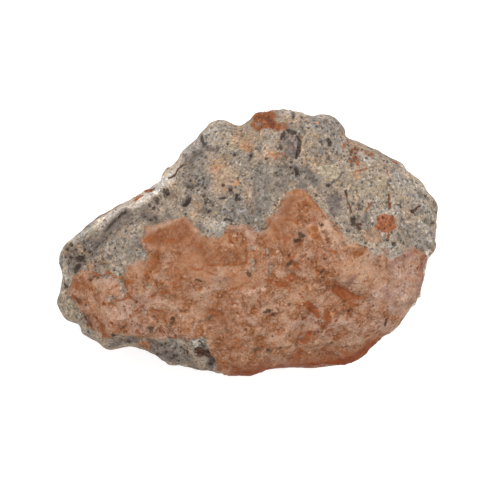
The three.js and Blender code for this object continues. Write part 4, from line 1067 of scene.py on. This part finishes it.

# The crust: clouds, curds and creases where it isn't waxy, with creases and hollows deeper orange and tops
# paler, partly its own colour and partly painted shade and highlight, then veins, beads and flecks.
wax = attribute("wax")
grain = 1.0 - wax * 0.7
some_wax = 0.25 + grain * 0.25
curds, small_curds = swing(4.2, 6.0, 0.62, 0.9), swing(1.3, 5.0, 0.65, 0.7)
film, thread = swing(2.4, 5.0, 0.6, 0.8), swing(1.7, 1.5, 0.5, 1.5)
lump_place = bent(1.1, 0.75, 4.0)
lump, to_edge = grains(0.85, lump_place), grains(0.85, lump_place, "DISTANCE_TO_EDGE")
lump_tone, _, _ = cell_numbers(lump)
crease = rising(to_edge, 0.13, 0.04) * rising(middling - curds * 0.4, 0.1, 0.4)
lace = rising(to_edge, 0.15, 0.06) * rising(middling - curds * 0.4, 0.0, -0.3)
crust_coat = tinted(
    attribute("crust_colour", "Color"),
    (rising(curds, 0.0, 0.8) * some_wax, (1.14, 1.30, 1.44)),
    (rising(curds, -0.1, -0.8) * some_wax, (0.94, 0.82, 0.70)),
    (rising(film, 0.05, 0.25) * grain * 0.7, (1.06, 1.20, 1.34)),
    (rising(film, 0.0, -0.3) * grain * 0.6, (0.93, 0.80, 0.66)),
    (rising(small_curds, 0.2, 0.5) * (0.1 + grain * 0.25), (1.14, 1.30, 1.44)),
    (rising(small_curds, -0.2, -0.5) * (0.1 + grain * 0.3), (0.88, 0.70, 0.54)),
    (rising(crystal_hue, 0.6, 1.0) * grain * 0.5, (1.04, 1.18, 1.32)),
    (rising(crystal_hue, 0.4, 0.0) * grain * 0.5, (0.96, 0.82, 0.68)),
    # Creases and hollows deeper orange, tops paler: partly the crust's own colour, partly painted shade and
    # painted highlight
    (crease * (0.2 + grain * 0.5), (0.80, 0.56, 0.36)),
    (rising(hollow, 0.04, 0.3) * (0.2 + grain * 0.6), (0.88, 0.62, 0.42)),
    (rising(hollow, -0.04, -0.26) * (0.2 + grain * 0.5), (1.10, 1.24, 1.36)),
)
grain_tone = (lump_tone - 0.5) * 0.18 + crystal_swing * 0.26 + crumb_swing * 0.56
crust_coat = toned(crust_coat, 1.0 + small_curds * 0.05 + small * 0.05 + grain_tone * grain)
veins = rising(thread * thread, 0.11, 0.01) * rising(film, -0.4, 0.2) * 0.5 + lace * 0.45
crust_coat = mixed(veins * grain, crust_coat, lit("veil"))
inside, number, tone = chips(1.3, 0.12, 0.27, small_bend)
bead = rising(inside, -0.03, 0.09) * grain
crust_coat = mixed(bead * 0.8, crust_coat, toned(mixed(number, lit("grit"), lit("deep")), 0.6 + tone * 0.7))
crowded = grain * rising(middling + curds * 0.3, -0.8, 0.3)
for size, share, widest, strength in (
    (1.5, 0.5, 0.24, 0.85),
    (0.95, 0.55, 0.32, 0.85),
    (0.6, 0.55, 0.38, 0.8),
):
    inside, number, tone = chips(size, share, widest, small_bend)
    fleck = toned(mixed(rising(number, 0.62, 0.7), lit("rust_edge"), lit("veil")), 0.9 + tone * 0.5)
    crust_coat = mixed(rising(inside, -0.05, 0.03) * crowded * strength, crust_coat, fleck)

# The crust over the rock, paler where it thins out, and the marks over both, then painted shade in the
# fine relief's hollows and pits and a painted highlight on its tops.
crust_depth = attribute("crust") + small * 0.2 + crystal_swing * 0.25
is_crust = rising(crust_depth, -0.14, 0.2)
crust_coat = tinted(crust_coat, (rising(crust_depth, 1.0, 0.1) * 0.45, (1.02, 1.24, 1.45)))
surface = mixed(is_crust, rock, crust_coat)
rough_edge = 1.0 - is_crust * wax * 0.85
mark_depth = attribute("mark") + (small * 0.6 + crystal_swing * 2.4 + crumb_swing * 1.3) * rough_edge
is_mark = rising(mark_depth, -0.6, 0.6)
shine = attribute("gloss") * is_mark
mark_tone = (small * 0.16 + crystal_swing * 0.55 + crumb_swing * 0.40) * rough_edge * (1.0 - shine * 0.8)
mark_coat = tinted(
    toned(attribute("mark_colour", "Color"), 1.0 + mark_tone),
    (salt * (0.8 - shine * 0.8), (1.26, 1.30, 1.36)),
    ((pepper + fine_pepper) * (0.7 - shine * 0.7), (0.50, 0.40, 0.34)),
)
surface = mixed(is_mark * 0.9, surface, mark_coat)
# Painted shade: darker in the hollows and pits of the fine relief; painted highlight: a little lighter on its
# tops
surface = toned(surface, 1.0 - rising(hollow, 0.05, 0.5) * 0.38 + rising(hollow, -0.05, -0.35) * 0.10)

# Heights for the bump are in millimetres.
rock_bump = crystal_tone * 0.10 + crystal * 0.06 + small * 0.12 + middling * 0.08
crust_bump = curds * 0.10 + (small_curds * 0.15 + crystal_tone * 0.06) * grain - bead * 0.12
crust_bump = crust_bump - (lump * lump * 0.16 + crease * 0.10) * (0.2 + grain * 0.8)
bump_height = rock_bump + is_crust * (crust_bump - rock_bump) - is_mark * 0.03
looks = {
    "Base Color": surface,
    "Roughness": 0.92 - is_crust * (0.12 + wax * 0.16) - shine * 0.35 + crystal_swing * 0.15,
    "Coat Weight": shine * 0.4,
    "Coat Roughness": 0.3,
    "Specular IOR Level": 0.05,
    "Normal": make("ShaderNodeBump", {}, {"Strength": 1.0, "Distance": MM, "Height": bump_height}),
}
make("ShaderNodeOutputMaterial", {}, {"Surface": make("ShaderNodeBsdfPrincipled", {}, looks)})
mesh.materials.append(finish)

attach(stone, "root")
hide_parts("meteorite")

# ---- The studio ----
# A pale matt table under soft light, with the camera straight over the face.

TABLE_HALF = 4.0
TABLE_LOOKS = {
    "Base Color": (0.62, 0.62, 0.62, 1.0),
    "Roughness": 0.95,
    "Specular IOR Level": 0.1,
    "Emission Color": (1.0, 1.0, 1.0, 1.0),
    "Emission Strength": 0.6,
}
floor_mesh = bpy.data.meshes.new("studio_table")
floor_corners = [(x * TABLE_HALF, y * TABLE_HALF, 0.0) for x, y in ((-1, -1), (1, -1), (1, 1), (-1, 1))]
floor_mesh.from_pydata(floor_corners, [], [(0, 1, 2, 3)])
floor = bpy.data.objects.new("studio_table", floor_mesh)
bpy.context.collection.objects.link(floor)
table = bpy.data.materials.new("studio_table")
table.use_nodes = True
for name, value in TABLE_LOOKS.items():
    table.node_tree.nodes["Principled BSDF"].inputs[name].default_value = value
floor_mesh.materials.append(table)

SKY = {"Color": (1.0, 1.0, 1.0, 1.0), "Strength": 0.82}
world = bpy.data.worlds.new("studio")
bpy.context.scene.world = world
world.use_nodes = True
for name, value in SKY.items():
    world.node_tree.nodes["Background"].inputs[name].default_value = value


def softbox(name, place, size, watts):
    """A square area light turned to the stone."""
    data = bpy.data.lights.new(name, "AREA")
    data.size, data.energy = size, watts
    lamp = bpy.data.objects.new(name, data)
    lamp.location = place
    lamp.rotation_mode = "QUATERNION"
    lamp.rotation_quaternion = (-Vector(place)).to_track_quat("-Z", "Y")
    lamp.visible_camera = False
    bpy.context.collection.objects.link(lamp)


softbox("key", place=(-0.22, 0.42, 0.95), size=0.3, watts=6.4)
softbox("fill", place=(0.55, 0.0, 0.8), size=0.6, watts=2.6)

PICTURE = 500  # pixels along a side
SENSOR, LENS = 36.0, 600.0
camera_distance = PICTURE * PIXEL * LENS / SENSOR
camera_x, camera_y = (PICTURE / 2 - ORIGIN_PIXEL[0]) * PIXEL, (ORIGIN_PIXEL[1] - PICTURE / 2) * PIXEL
camera_data = bpy.data.cameras.new("camera")
camera_data.sensor_width, camera_data.lens = SENSOR, LENS
camera_data.clip_end = 20.0
camera = bpy.data.objects.new("camera", camera_data)
camera.location = Vector((camera_x, camera_y, RIM_HEIGHT + camera_distance)) * MM
bpy.context.collection.objects.link(camera)
bpy.context.scene.camera = camera
bpy.context.scene.view_settings.view_transform = "Standard"
